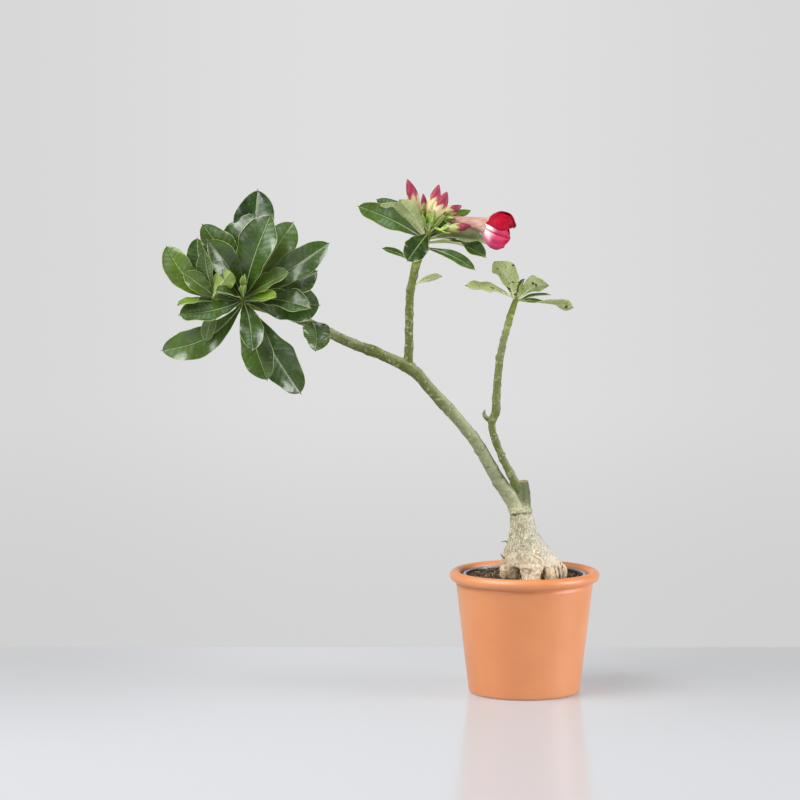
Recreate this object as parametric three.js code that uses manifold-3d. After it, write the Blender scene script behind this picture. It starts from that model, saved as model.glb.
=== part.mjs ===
// Desert rose in a pot: a swollen grey caudex with bare limbs, three rosettes of
// leathery leaves and a cluster of pink flowers, in a black nursery pot that stands
// in a glazed terracotta pot. Millimetres, +Z up, origin at the centre of the
// terracotta pot's underside, -Y towards the viewer.
import * as THREE from 'three';
import { mergeVertices } from 'three/addons/utils/BufferGeometryUtils.js';
import Module from 'manifold-3d';

const wasm = await Module();
wasm.setup();

// Pots and soil
const POT_RADIUS = 59.2;
const POT_BASE_RADIUS = 48.4;
const POT_WALL = 5.6;
const POT_FLOOR = 7;
const BEAD_CENTRE = [60.4, 102];
const BEAD_RADIUS = 4.6;
const NURSERY_RIM_RADIUS = 53.4;
const NURSERY_RIM_TOP = 103.7;
const NURSERY_WALL = 0.9;
const SOIL_TOP = 99.5;
const SOIL_RADIUS = 48.8;
const SOIL_BASE_RADIUS = 35.7;
const SOIL_HOLE_DEPTH = 14;
const SEAT = 0.3;
const ROUND_SIDES = 40;

// Caudex
const CAUDEX_AXIS = 6.7;
const CAUDEX_SIDES = 48;
const CAUDEX_FREE_FROM = 102;

// Leaves
const WIDEST = 0.66;
const MARGIN = 0.65;
const MIDRIB = 1.25;
const LONG_STATIONS = [0, 0.2, 0.4, 0.6, 0.77, 0.91, 1];
const SHORT_STATIONS = [0, 0.3, 0.6, 0.85, 1];
const ACROSS = [-1, 0, 1];

// Colours
const TERRACOTTA = 0xe29a68;
const BLACK_PLASTIC = 0x2b2d31;
const SOIL = 0x33261e;
const BARK = 0xa9a488;
const LEAF = 0x3f6a32;
const YOUNG_GREEN = 0x9db255;
const PETAL_PINK = 0xe0557a;
const BUD_RED = 0xc93f57;
const ANTHER_CREAM = 0xe9dca8;

const radians = THREE.MathUtils.degToRad;
const lerp = THREE.MathUtils.lerp;
const vector = (p) => new THREE.Vector3(p[0], p[1], p[2]);

// Closed solids

function closedGeometry(points, faces) {
  let volume = 0;
  for (const [a, b, c] of faces) {
    volume += points[a].dot(new THREE.Vector3().crossVectors(points[b], points[c]));
  }
  const outward = volume > 0 ? faces : faces.map(([a, b, c]) => [a, c, b]);
  const geometry = new THREE.BufferGeometry().setFromPoints(points);
  geometry.setIndex(outward.flat());
  return geometry;
}

// Rings of equal count are skinned, and each end is closed by a fan.
function loft(rings) {
  const count = rings[0].length;
  const points = rings.flat();
  const faces = [];
  for (let k = 0; k + 1 < rings.length; k += 1) {
    for (let i = 0; i < count; i += 1) {
      const j = (i + 1) % count;
      const [low, high] = [k * count, (k + 1) * count];
      faces.push([low + i, low + j, high + j], [low + i, high + j, high + i]);
    }
  }
  for (const ring of [rings[0], rings.at(-1)]) {
    const start = ring === rings[0] ? 0 : points.length - count - 1;
    const hub = points.length;
    const middle = new THREE.Vector3();
    ring.forEach((p) => middle.add(p));
    points.push(middle.divideScalar(count));
    for (let i = 0; i < count; i += 1) {
      const j = (i + 1) % count;
      faces.push(start ? [start + i, start + j, hub] : [j, i, hub]);
    }
  }
  return closedGeometry(points, faces);
}

// A sheet is a grid of upper points over a grid of lower points, cut alike, with its
// four edges walled.
function sheet(upper, lower) {
  const rows = upper.length;
  const n = upper[0].length;
  const points = [...upper.flat(), ...lower.flat()];
  const under = rows * n;
  const faces = [];
  const wall = (a, b) => faces.push([a, b, under + b], [a, under + b, under + a]);
  for (let k = 0; k + 1 < rows; k += 1) {
    const [low, high] = [k * n, (k + 1) * n];
    for (let j = 0; j + 1 < n; j += 1) {
      const [a, b, c, d] = [low + j, low + j + 1, high + j + 1, high + j];
      faces.push([a, b, c], [a, c, d]);
      faces.push([under + a, under + c, under + b], [under + a, under + d, under + c]);
    }
    wall(low, high);
    wall(high + n - 1, low + n - 1);
  }
  for (let j = 0; j + 1 < n; j += 1) {
    wall(j + 1, j);
    wall((rows - 1) * n + j, (rows - 1) * n + j + 1);
  }
  return closedGeometry(points, faces);
}

function toSolid(geometry) {
  const bare = geometry.clone();
  bare.deleteAttribute('normal');
  bare.deleteAttribute('uv');
  const merged = mergeVertices(bare, 1e-4);
  return new wasm.Manifold(new wasm.Mesh({
    numProp: 3,
    vertProperties: new Float32Array(merged.attributes.position.array),
    triVerts: new Uint32Array(merged.index.array),
  }));
}

function joined(geometries) {
  let solid = toSolid(geometries[0]);
  for (const geometry of geometries.slice(1)) solid = solid.add(toSolid(geometry));
  const mesh = solid.getMesh();
  const geometry = new THREE.BufferGeometry();
  geometry.setAttribute('position', new THREE.BufferAttribute(new Float32Array(mesh.vertProperties), 3));
  geometry.setIndex(Array.from(mesh.triVerts));
  return geometry;
}

// A limb is a run of [x, y, z, radius] stations, lofted between two shares of its
// length, so that the woody stem can end where the green shoot begins.
function limb(stations, { from = 0, to = 1, sides = 9, steps = 12 } = {}) {
  const curve = new THREE.CatmullRomCurve3(stations.map(vector), false, 'centripetal');
  const radiusAt = (share) => {
    const u = Math.min(share * (stations.length - 1), stations.length - 1.0001);
    const i = Math.floor(u);
    return lerp(stations[i][3], stations[i + 1][3], u - i);
  };
  const rings = [];
  for (let k = 0; k <= steps; k += 1) {
    const share = lerp(from, to, k / steps);
    const along = curve.getTangent(share);
    const across = new THREE.Vector3(0, 1, 0).cross(along).normalize();
    const up = along.clone().cross(across);
    const ring = [];
    for (let i = 0; i < sides; i += 1) {
      const angle = (2 * Math.PI * i) / sides;
      ring.push(curve.getPoint(share)
        .addScaledVector(across, radiusAt(share) * Math.cos(angle))
        .addScaledVector(up, radiusAt(share) * Math.sin(angle)));
    }
    rings.push(ring);
  }
  return loft(rings);
}

// Leaf blade: narrow petiole, widest past the middle, round tip, V-folded along its
// midrib, arched up, swept sideways and twisted

function halfWidth(s) {
  if (s < WIDEST) {
    const r = s / WIDEST;
    return 0.11 + 0.89 * (3 * r * r - 2 * r ** 3) ** 0.85;
  }
  const q = (s - WIDEST) / (1 - WIDEST);
  return Math.max(0, 1 - q ** 2.3) ** 0.6;
}

function bladeFrame(leaf, s) {
  const chord = leaf.tip.clone().sub(leaf.root);
  const length = chord.length();
  const along = chord.clone().normalize();
  const normal = leaf.face.clone().addScaledVector(along, -leaf.face.dot(along)).normalize();
  normal.applyAxisAngle(along, radians(leaf.roll));
  const side = along.clone().cross(normal);
  const bulge = length * Math.sin(Math.PI * s);
  const slope = Math.PI * length * Math.cos(Math.PI * s);
  const tangent = chord.clone()
    .addScaledVector(normal, leaf.arch * slope)
    .addScaledVector(side, leaf.sweep * slope)
    .normalize();
  const up = normal.clone().addScaledVector(tangent, -normal.dot(tangent)).normalize();
  up.applyAxisAngle(tangent, radians(leaf.twist) * s);
  const point = leaf.root.clone()
    .addScaledVector(chord, s)
    .addScaledVector(normal, leaf.arch * bulge)
    .addScaledVector(side, leaf.sweep * bulge);
  return { point, up, across: tangent.clone().cross(up) };
}

function blade(leaf, stations = LONG_STATIONS, across = ACROSS) {
  const fold = radians(leaf.fold);
  const upper = [];
  const lower = [];
  for (const s of stations) {
    const { point, up, across: side } = bladeFrame(leaf, s);
    const half = Math.max(0.35, 0.5 * leaf.width * halfWidth(s));
    const middle = across.map((t) => point.clone()
      .addScaledVector(side, t * half * Math.cos(fold))
      .addScaledVector(up, Math.abs(t) ** 1.4 * half * Math.sin(fold)));
    const thick = across.map((t) => lerp(MARGIN, MIDRIB, (1 - Math.abs(t)) * (1 - 0.6 * s)));
    upper.push(middle.map((p, j) => p.clone().addScaledVector(up, thick[j] / 2)));
    lower.push(middle.map((p, j) => p.clone().addScaledVector(up, -thick[j] / 2)));
  }
  return sheet(upper, lower);
}

function leafFrom(root, tip, face, [width, fold, arch, roll, sweep, twist]) {
  return { root, tip, face, width, fold, arch, roll, sweep, twist };
}

// Pots: closed profiles turned about the axis

function turned(profile) {
  const points = profile.map(([r, z]) => new THREE.Vector2(r, z));
  return new THREE.LatheGeometry(points, ROUND_SIDES).rotateX(Math.PI / 2);
}

function terracottaPot() {
  const bead = [];
  for (let angle = 250; angle <= 520; angle += 30) {
    const a = radians(angle);
    bead.push([BEAD_CENTRE[0] + BEAD_RADIUS * Math.cos(a), BEAD_CENTRE[1] + BEAD_RADIUS * Math.sin(a)]);
  }
  const inner = POT_BASE_RADIUS - POT_WALL;
  return turned([
    [0, 0], [POT_BASE_RADIUS - 2.6, 0], [POT_BASE_RADIUS - 0.8, 0.7], [POT_BASE_RADIUS, 2.4],
    [POT_RADIUS, 94.4], [POT_RADIUS - 0.5, 95], [POT_RADIUS, 95.7],
    ...bead,
    [55.6, 101.4], [55.4, 98.5], [POT_RADIUS - POT_WALL, 96.5],
    [inner + 0.8, POT_FLOOR + 1.6], [inner - 1, POT_FLOOR], [0, POT_FLOOR],
  ]);
}

function nurseryPot() {
  const base = POT_FLOOR + SEAT;
  const rim = NURSERY_RIM_RADIUS;
  return turned([
    [0, base], [37, base], [50.1, 99.2], [rim - 0.3, 99.6], [rim, 100.1], [rim, NURSERY_RIM_TOP - 0.5],
    [rim - 0.5, NURSERY_RIM_TOP], [rim - 2.6, NURSERY_RIM_TOP], [rim - 3, NURSERY_RIM_TOP - 0.4],
    [50.1 - NURSERY_WALL, 99], [37 - NURSERY_WALL, base + NURSERY_WALL], [0, base + NURSERY_WALL],
  ]);
}

// Caudex foot: a round core with roots that stand out from it like toes. Each root is
// its direction in degrees, how far it stands out and its half width in degrees.
const ROOTS = [[348, 10.4, 20], [312, 6.5, 9], [268, 5.5, 26], [187, 10.2, 13], [122, 7, 20], [62, 6, 22]];

function rootsAt(angle) {
  let out = 0;
  for (const [direction, reach, width] of ROOTS) {
    const turn = ((angle - direction + 540) % 360) - 180;
    out += reach * Math.exp(-((turn / width) ** 2));
  }
  return out;
}

function caudexRing(z, centreX, core, share, extra = 0) {
  const ring = [];
  for (let i = 0; i < CAUDEX_SIDES; i += 1) {
    const angle = (360 * i) / CAUDEX_SIDES;
    const r = core + share * rootsAt(angle) + extra;
    ring.push(new THREE.Vector3(centreX + r * Math.cos(radians(angle)), r * Math.sin(radians(angle)), z));
  }
  return ring;
}

// Height, centre x, core radius and how much of each root shows
const CAUDEX = [
  [SOIL_TOP - SOIL_HOLE_DEPTH + SEAT, CAUDEX_AXIS, 19, 1], [CAUDEX_FREE_FROM, CAUDEX_AXIS, 19, 1],
  [106.5, 6.6, 19.3, 0.95], [112, 5.9, 19.2, 0.82], [118, 4.6, 18.5, 0.58], [124, 3, 17.3, 0.4],
  [131, 1.4, 15.2, 0.26], [138, 0, 12.8, 0.16], [144.5, -1.2, 10.9, 0.1], [150.5, -2.4, 9.9, 0.05],
  [155, -3.2, 9.6, 0.02], [157.5, -3.6, 10.3, 0], [161, -3.8, 9.3, 0], [165, -4.1, 6.2, 0],
];

function soil() {
  const hole = (z) => caudexRing(z, CAUDEX_AXIS, 19, 1, 0.55);
  const edge = (z, r) => caudexRing(z, 0, r, 0);
  const rings = [hole(SOIL_TOP - SOIL_HOLE_DEPTH)];
  for (const share of [0, 0.25, 0.5, 0.75, 0.97]) {
    const inner = hole(SOIL_TOP);
    rings.push(edge(SOIL_TOP, SOIL_RADIUS).map((p, i) => {
      const a = (2 * Math.PI * i) / CAUDEX_SIDES;
      const lump = 0.6 * Math.sin(7 * a + 9 * share) + 0.5 * Math.sin(3 * a - 1 + 5 * share);
      return inner[i].clone().lerp(p, share).setZ(SOIL_TOP + 0.4 - 0.9 * share + lump * (1 - 0.6 * share));
    }));
  }
  rings.push(edge(SOIL_TOP - 1.6, SOIL_RADIUS - 0.2));
  rings.push(edge(POT_FLOOR + SEAT + NURSERY_WALL + SEAT, SOIL_BASE_RADIUS));
  return loft(rings);
}

// Woody limbs: x, y, z, radius. The leafy ends past the green share belong to the rosettes.
const LIMB = [
  [-4, 0, 156, 8.6], [-9.5, 0, 165.5, 6.9], [-23.9, 0, 186.7, 5.7], [-38.6, -1, 212.3, 5.3], [-47.9, -2, 225.7, 5.1],
  [-56.2, -2.5, 235.8, 5], [-64.6, -3, 245.4, 5.4], [-80, -4, 262.3, 4.9], [-94.8, -5, 279, 5],
  [-102, -5.5, 284, 5.3], [-115.1, -8, 290.4, 4.7], [-130.8, -12, 297.7, 4.6], [-147.8, -17, 304.2, 4.5],
  [-163.4, -23, 312, 4.4], [-185.4, -32, 323.2, 4.2], [-205.7, -40, 332, 4], [-224, -45.5, 337.6, 3.7],
  [-236, -47.5, 340.6, 3.4], [-240.2, -52, 343.2, 3.3], [-240.5, -62, 350, 2.2],
];
const LIMB_GREEN_FROM = 16.2 / 19;
const SIDE_SHOOT = [[-236, -48.5, 341, 2.6], [-250, -55, 341.5, 2.6], [-261, -62, 345, 2.5], [-266, -66.5, 348, 1.8]];
const UPRIGHT = [
  [-101, -5, 284, 4.1], [-100.2, -5, 306.8, 3.5], [-100, -4, 332.6, 3.5], [-99.2, -3, 347.6, 3.5],
  [-96.7, -2, 360.8, 3.5], [-93.2, -1, 373.9, 3.6], [-89.3, 0, 384.4, 3.6], [-85.6, 0, 393.6, 3.4],
  [-82.5, 0, 401.5, 2.6],
];
const UPRIGHT_GREEN_FROM = 5.75 / 8;
const RIGHT_SHOOT = [
  [-4.5, -1, 177, 3.6], [-9.4, -3, 184.8, 3.9], [-16.4, -4, 198.2, 3.3], [-21.8, -4, 210.2, 3.2],
  [-27, -4, 223.5, 3.1], [-28.7, -3, 235.3, 3.4], [-25.6, -2, 243.4, 3.7], [-24.7, 0, 256.2, 3.5],
  [-23.8, 2, 272, 3.4], [-21.7, 4, 290.3, 3.2], [-17.4, 6, 310.1, 3.1], [-12.2, 8, 328, 3], [-7, 9, 343.5, 2.2],
];
const RIGHT_GREEN_FROM = 11.1 / 12;
const STUMP = [[-1.5, 0, 156, 7.6], [-1, 0, 164, 6.2], [-0.9, 0, 174, 5.5], [-2, 0, 184.5, 4.9]];
const DEAD_TWIG = [[-28, -3, 237.4, 1.6], [-32.6, -4, 239, 1.4], [-35.8, -5, 243, 1.3], [-34.4, -5, 247.3, 0.5]];
const FORK_STUB = [[-102, -6, 285, 1.7], [-106.2, -6.5, 290.8, 1.4]];
const BUD_NUB = [[-23.5, -4, 209, 1.4], [-17.2, -4.5, 208.9, 0.9]];

function woodyPlant() {
  return joined([
    loft(CAUDEX.map(([z, x, core, share]) => caudexRing(z, x, core, share))),
    limb(LIMB, { to: LIMB_GREEN_FROM, sides: 10, steps: 27 }),
    limb(UPRIGHT, { to: UPRIGHT_GREEN_FROM, steps: 10 }),
    limb(RIGHT_SHOOT, { to: RIGHT_GREEN_FROM, steps: 20 }),
    limb(STUMP, { steps: 4, sides: 10 }),
    limb(DEAD_TWIG, { steps: 5, sides: 6 }),
    limb(FORK_STUB, { steps: 1, sides: 6 }),
    limb(BUD_NUB, { steps: 1, sides: 6 }),
  ]);
}

// Rosettes. A leaf is a row: tip offset x, y, z from the rosette's centre, width, fold,
// arch, roll, sweep, twist, and how far below the shoot's tip it grows.
const LEFT_ROSETTE = {
  shoot: LIMB,
  face: [-0.05, -0.78, 0.62],
  rows: [
    [12, 18, 86.5, 35, 12, 0.06, 4, 0.02, 0, 11], [12, 6, 67, 42, 14, 0.06, -18, -0.03, 0, 9],
    [24, -12, 67, 36, 16, 0.05, -4, 0.03, 0, 7], [42, 6, 60, 30, 14, 0.05, 22, 0, 0, 9],
    [72, 0, 43, 26, 14, 0.07, 0, 0.01, 0, 9], [62, 8, 19, 29, 12, 0.06, 10, 0.05, 0, 11],
    [39, -24, 20, 19, 24, 0.04, 0, 0.02, 0, 6], [29, -30, 0, 15, 28, -0.04, 0, 0, 0, 3],
    [57, -22, -10, 24, 18, 0.08, -8, 0, 0, 7], [64, 6, -9.5, 34, 12, 0.06, 10, 0.01, 0, 11],
    [9, -30, -44, 21, 16, 0.1, 0, 0, 0, 8], [20.5, -2, -70.5, 26, 14, 0.1, 14, 0.01, 0, 11],
    [47.8, 4, -84, 31, 10, 0.05, 0, 0.03, 0, 12], [-68, 2, -47.5, 30, 10, 0.06, 0, -0.125, 0, 13],
    [-52.5, -14, -16, 26, 18, 0.06, 0, -0.1, 0, 10], [-33.5, 0, 58.5, 30, 10, 0.07, 10, 0.05, 20, 9],
    [-28, -18, 46, 24, 18, 0.05, 6, 0.02, 0, 7], [-22, -28, 24, 18, 20, 0.1, 180, 0, 0, 4],
    [-21, -28, 5, 15, 24, 0.05, 0, -0.05, 0, 4], [2, -24, 18, 9, 30, -0.05, 0, 0, 0, 1],
    [1, -25, 9, 8, 30, -0.05, 0, 0, 0, 1],
    [16, 34, 58, 26, 12, 0.05, 0, 0, 0, 13], [-26, 32, 34, 24, 12, 0.05, 0, 0, 0, 13],
    [46, 30, 6, 24, 12, 0.05, 0, 0, 0, 14], [-38, 18, 4, 24, 12, 0.05, 0, 0, 0, 13],
  ],
};
const SIDE_ROSETTE = {
  shoot: SIDE_SHOOT,
  face: [-0.45, -0.72, 0.5],
  rows: [
    [-6, 4, -37, 12, 10, 0.06, -30, 0.02, 0, 7], [-28, -14, -5.5, 13, 20, 0.04, 20, 0, 0, 5],
    [-23, -14, 21, 18, 16, 0.06, 12, -0.02, 0, 5], [-38, -2, 42.5, 23.5, 12, 0.06, 10, -0.1, 0, 7],
    [-12.8, 6, 49, 22, 20, 0.05, -10, -0.08, 0, 7], [-8, -8, 39, 16, 24, 0.05, 0, -0.02, 0, 4],
  ],
};
const MIDDLE_ROSETTE = {
  shoot: UPRIGHT,
  face: [0.28, -0.1, 0.95],
  rows: [
    [-60.5, -10, 20.2, 21, 16, 0.065, -40, 0, 0, 9], [-45, 18, 25, 18, 12, 0.06, -30, 0, 0, 6],
    [-43, -14, 22, 19, 16, 0.08, 45, 0, 0, 7], [-25, -20, 26, 21, 16, 0.1, 55, 0, 0, 6],
    [-19, -25, -25, 19.5, 12, 0.24, 0, 0, 0, 4], [38, -14, -33, 12.5, 14, 0.08, 38, 0, 0, 16],
    [47.2, -14, -22.6, 21, 14, 0.12, -36, 0, 70, 11.5], [51, 0, -12, 21, 12, 0.1, -38, 0, 0, 8],
    [35, 26, 15, 14, 12, 0.06, 0, 0, 0, 5], [24, 34, -7, 18, 12, 0.06, 20, 0, 0, 8],
    [-20, 40, 4, 19, 12, 0.08, 0, 0, 0, 9],
  ],
};
const RIGHT_ROSETTE = {
  shoot: RIGHT_SHOOT,
  face: [0.12, -0.2, 0.97],
  rows: [
    [-44, -10, 9.5, 12, 14, 0.07, -30, 0, 0, 2], [-19.5, -14, 30.3, 22.5, 14, 0.07, 48, -0.06, 0, 3],
    [25.8, -12, 10.8, 20, 18, 0.18, -50, 0, 0, 2], [47.8, 0, -9.5, 17.5, 14, 0.04, 40, 0, -90, 3],
    [29, 18, 0, 7, 14, 0.06, 0, 0, 0, 4], [-4, 14, 15, 10, 20, 0.05, 0, 0, 0, 1],
    [6, -4, 15, 9, 30, 0, 0, 0, 0, 0], [-12, 26, 21, 16, 14, 0.08, 0, 0, 0, 4],
  ],
};

function rosetteBlades({ shoot, face, rows }) {
  const curve = new THREE.CatmullRomCurve3(shoot.map(vector), false, 'centripetal');
  const centre = vector(shoot.at(-1));
  return rows.map((row) => {
    const share = 1 - row[9] / curve.getLength();
    const tip = centre.clone().add(vector(row));
    const root = curve.getPointAt(share);
    const along = curve.getTangentAt(share);
    const outward = tip.clone().sub(root);
    outward.addScaledVector(along, -outward.dot(along)).normalize();
    root.addScaledVector(outward, 1.8);
    const leaf = leafFrom(root, tip, vector(face), row.slice(3, 9));
    return blade(leaf, tip.distanceTo(root) > 32 ? LONG_STATIONS : SHORT_STATIONS);
  });
}

// The green end of a shoot starts just clear of its woody part, on the same line.
function greenEnd(stations, from, steps) {
  const curve = new THREE.CatmullRomCurve3(stations.map(vector), false, 'centripetal');
  const speed = curve.getPoint(from).distanceTo(curve.getPoint(from + 0.001)) / 0.001;
  return limb(stations, { from: from + (SEAT + 0.05) / speed, steps, sides: 8 });
}

// Leaves that grow singly from the bare wood: root, tip, face and the shape values
const SINGLE_LEAVES = {
  low_leaf: [[-186.9, -37, 321], [-184, -56, 302], [0.1, -1, 0.3], [23, 20, 0.12, 0, -0.2, 0]],
  upper_stem_leaf: [[-97.3, -2, 374.4], [-122.6, -10, 385.8], [0, -0.7, 0.7], [7.5, 16, 0.06, 0, 0, 0]],
  lower_stem_leaf: [[-93.4, -3.2, 355], [-72.4, -6, 361.7], [0, -0.6, 0.8], [6.5, 16, 0.04, 0, 0.05, 0]],
};

// Flower cluster. Each bud is its base, tip and greatest radius.
const BUDS = [
  [[-90.7, 2, 409.6], [-101.6, -2, 444.9], 5], [[-87, 9.6, 411], [-87.9, 12.6, 432], 2.8],
  [[-84, 3.5, 410], [-74.5, 4.5, 440], 4.8], [[-80, -5.5, 407.5], [-67.7, -12, 434.5], 5.2],
  [[-74.6, 3.5, 412.6], [-55, 5.5, 421.8], 4.2], [[-70.5, -12.6, 402.4], [-47.3, -22, 406], 3.8],
];
const FLOWER_BASE = [-68, -5, 411.4];
const FLOWER_THROAT = [-34.9, -12, 405.6];
const FLOWER_FRONT = [-12.4, -15, 397.5];
const PETAL = 0.75;

function frameAlong(from, to) {
  const along = vector(to).sub(vector(from)).normalize();
  const across = new THREE.Vector3(0, 1, 0).cross(along).normalize();
  return { along, across, up: along.clone().cross(across) };
}

function ringAt(centre, { across, up }, radiusOf, sides, shift = () => 0, along = null) {
  const ring = [];
  for (let i = 0; i < sides; i += 1) {
    const a = (2 * Math.PI * i) / sides;
    const p = centre.clone()
      .addScaledVector(across, radiusOf(a) * Math.cos(a))
      .addScaledVector(up, radiusOf(a) * Math.sin(a));
    ring.push(along ? p.addScaledVector(along, shift(a)) : p);
  }
  return ring;
}

function bud([base, tip, radius]) {
  const frame = frameAlong(base, tip);
  const profile = [[0, 0.4], [0.12, 0.6], [0.3, 0.86], [0.5, 1], [0.68, 0.9], [0.84, 0.6], [0.95, 0.28], [1, 0.08]];
  return loft(profile.map(([s, share]) => ringAt(
    vector(base).lerp(vector(tip), s),
    frame,
    (a) => radius * share * (1 + 0.09 * Math.cos(5 * a + 2.4 * s)),
    10,
  )));
}

// Radius of the corolla along its axis: a tube from 0 to 1, then the cup of lobes
function corollaRadius(a) {
  const tube = [[-34, 2.2], [-26, 3.6], [-14, 5.2], [-4, 6.7], [0, 7.6], [3, 12.2], [8, 15.8], [14, 16.6], [20, 15.2], [24, 13]];
  for (let i = 0; i + 1 < tube.length; i += 1) {
    const [[a0, r0], [a1, r1]] = [tube[i], tube[i + 1]];
    if (a <= a1) return lerp(r0, r1, Math.max(0, (a - a0) / (a1 - a0)));
  }
  return tube.at(-1)[1];
}

function corolla() {
  const tubeFrame = frameAlong(FLOWER_BASE, FLOWER_THROAT);
  const cupFrame = frameAlong(FLOWER_THROAT, FLOWER_FRONT);
  const throat = vector(FLOWER_THROAT);
  const reach = (a) => 23 * (0.7 + 0.3 * Math.abs(Math.cos(2.5 * a - Math.PI / 4)));
  const skin = (a, depth) => {
    const slope = Math.atan2(corollaRadius(a + 0.5) - corollaRadius(a - 0.5), 1);
    return [a + depth * Math.sin(slope), corollaRadius(a) - depth * Math.cos(slope)];
  };
  const tubeRing = (a, depth) => {
    const [axial, r] = skin(a, depth);
    return ringAt(throat.clone().addScaledVector(tubeFrame.along, axial), tubeFrame, () => r, 20);
  };
  const cupRing = (share, depth) => ringAt(
    throat,
    cupFrame,
    (a) => skin(share * reach(a), depth)[1],
    20,
    (a) => skin(share * reach(a), depth)[0],
    cupFrame.along,
  );
  return loft([
    ...[-34, -26, -14, -4].map((a) => tubeRing(a, 0)),
    ...[0.05, 0.22, 0.5, 0.78, 1].map((s) => cupRing(s, 0)),
    ...[1, 0.78, 0.5, 0.22, 0.05].map((s) => cupRing(s, PETAL)),
    ...[-6, -16].map((a) => tubeRing(a, PETAL)),
  ]);
}

function flowerHeart() {
  const frame = frameAlong(FLOWER_BASE, FLOWER_THROAT);
  const throat = vector(FLOWER_THROAT);
  const profile = [[-11, 4.4], [-5, 3.4], [2, 1.9], [9, 0.5]];
  return loft(profile.map(([a, r]) => ringAt(throat.clone().addScaledVector(frame.along, a), frame, () => r, 10)));
}

// Stalks: one stout peduncle, a pedicel to each bud and five narrow sepals round it
function flowerStalks() {
  const tip = vector(UPRIGHT.at(-1));
  const along = tip.clone().sub(vector(UPRIGHT.at(-2))).normalize();
  const start = tip.clone().addScaledVector(along, SEAT + 0.25);
  const knot = start.clone().addScaledVector(along, 3);
  const pieces = [limb([[...start.toArray(), 2.3], [...knot.toArray(), 2.4]], { steps: 1, sides: 7 })];
  const calyces = [...BUDS, [FLOWER_BASE, FLOWER_THROAT, 5.2]];
  for (const [base, top, radius] of calyces) {
    const { along: axis, across, up } = frameAlong(base, top);
    const foot = vector(base).addScaledVector(axis, -SEAT - 0.2);
    const stations = [
      [...knot.toArray(), 1.3],
      [...foot.clone().addScaledVector(axis, -2.2).toArray(), 1.2],
      [...foot.toArray(), 0.42 * radius + 0.9],
    ];
    pieces.push(limb(stations, { steps: 2, sides: 6 }));
    for (let i = 0; i < 5; i += 1) {
      const a = (2 * Math.PI * (i + 0.5)) / 5;
      const out = across.clone().multiplyScalar(Math.cos(a)).addScaledVector(up, Math.sin(a));
      const root = foot.clone().addScaledVector(out, 0.42 * radius + 0.4).addScaledVector(axis, -0.7);
      const reach = 4 + radius;
      const sepalTip = root.clone().addScaledVector(axis, reach).addScaledVector(out, 0.6 * radius + 0.9);
      const sepal = leafFrom(root, sepalTip, axis, [2.6, 0, -0.06, 0, 0, 0]);
      pieces.push(blade(sepal, [0, 0.55, 1], [-1, 1]));
    }
  }
  return joined(pieces);
}

const group = new THREE.Group();

function add(name, geometry, color, roughness) {
  geometry.computeVertexNormals();
  const material = new THREE.MeshStandardMaterial({ color, roughness, metalness: 0, flatShading: true });
  const mesh = new THREE.Mesh(geometry, material);
  mesh.name = name;
  group.add(mesh);
}

add('terracotta_pot', terracottaPot(), TERRACOTTA, 0.35);
add('nursery_pot', nurseryPot(), BLACK_PLASTIC, 0.45);
add('soil', soil(), SOIL, 0.95);
add('woody_plant', woodyPlant(), BARK, 0.75);
add('left_rosette', joined([
  greenEnd(LIMB, LIMB_GREEN_FROM, 6),
  limb(SIDE_SHOOT, { steps: 4, sides: 8 }),
  ...rosetteBlades(LEFT_ROSETTE),
  ...rosetteBlades(SIDE_ROSETTE),
]), LEAF, 0.4);
add('middle_rosette', joined([
  greenEnd(UPRIGHT, UPRIGHT_GREEN_FROM, 5),
  ...rosetteBlades(MIDDLE_ROSETTE),
]), LEAF, 0.4);
add('right_rosette', joined([
  greenEnd(RIGHT_SHOOT, RIGHT_GREEN_FROM, 4),
  ...rosetteBlades(RIGHT_ROSETTE),
]), LEAF, 0.4);
for (const [name, [root, tip, face, shape]] of Object.entries(SINGLE_LEAVES)) {
  const leaf = leafFrom(vector(root), vector(tip), vector(face), shape);
  add(name, blade(leaf, name === 'low_leaf' ? LONG_STATIONS : SHORT_STATIONS), LEAF, 0.45);
}
add('flower_stalks', flowerStalks(), YOUNG_GREEN, 0.55);
BUDS.forEach((row, i) => add(`bud_${i + 1}`, bud(row), BUD_RED, 0.5));
add('open_flower', corolla(), PETAL_PINK, 0.5);
add('flower_heart', flowerHeart(), ANTHER_CREAM, 0.6);

export default group;
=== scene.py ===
import math

import bpy
import numpy as np
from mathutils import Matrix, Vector, noise
from mathutils.bvhtree import BVHTree


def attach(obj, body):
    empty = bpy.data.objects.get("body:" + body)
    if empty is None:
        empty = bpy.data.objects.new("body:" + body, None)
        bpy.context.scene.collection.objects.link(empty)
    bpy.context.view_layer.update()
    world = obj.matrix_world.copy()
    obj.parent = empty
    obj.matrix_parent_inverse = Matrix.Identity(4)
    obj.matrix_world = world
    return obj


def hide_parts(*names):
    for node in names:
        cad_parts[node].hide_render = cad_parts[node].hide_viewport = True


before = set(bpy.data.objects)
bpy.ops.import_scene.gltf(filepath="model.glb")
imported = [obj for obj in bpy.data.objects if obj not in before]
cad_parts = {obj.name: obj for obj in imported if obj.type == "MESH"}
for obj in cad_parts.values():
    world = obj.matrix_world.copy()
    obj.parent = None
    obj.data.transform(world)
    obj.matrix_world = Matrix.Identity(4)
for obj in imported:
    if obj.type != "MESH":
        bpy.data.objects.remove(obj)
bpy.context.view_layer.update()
scene = bpy.context.scene
scene.view_settings.view_transform = "Standard"


# Cover pot
# Slip-cast terracotta under a thin satin glaze, with a rolled rim over a fine groove.
# It stands free on the table and everything else stands in it.

MM = 0.001
POT_BASE_RADIUS = 48.4
POT_RADIUS = 59.2
POT_WALL = 5.6
POT_FLOOR = 7
POT_SIDES = 160
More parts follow.
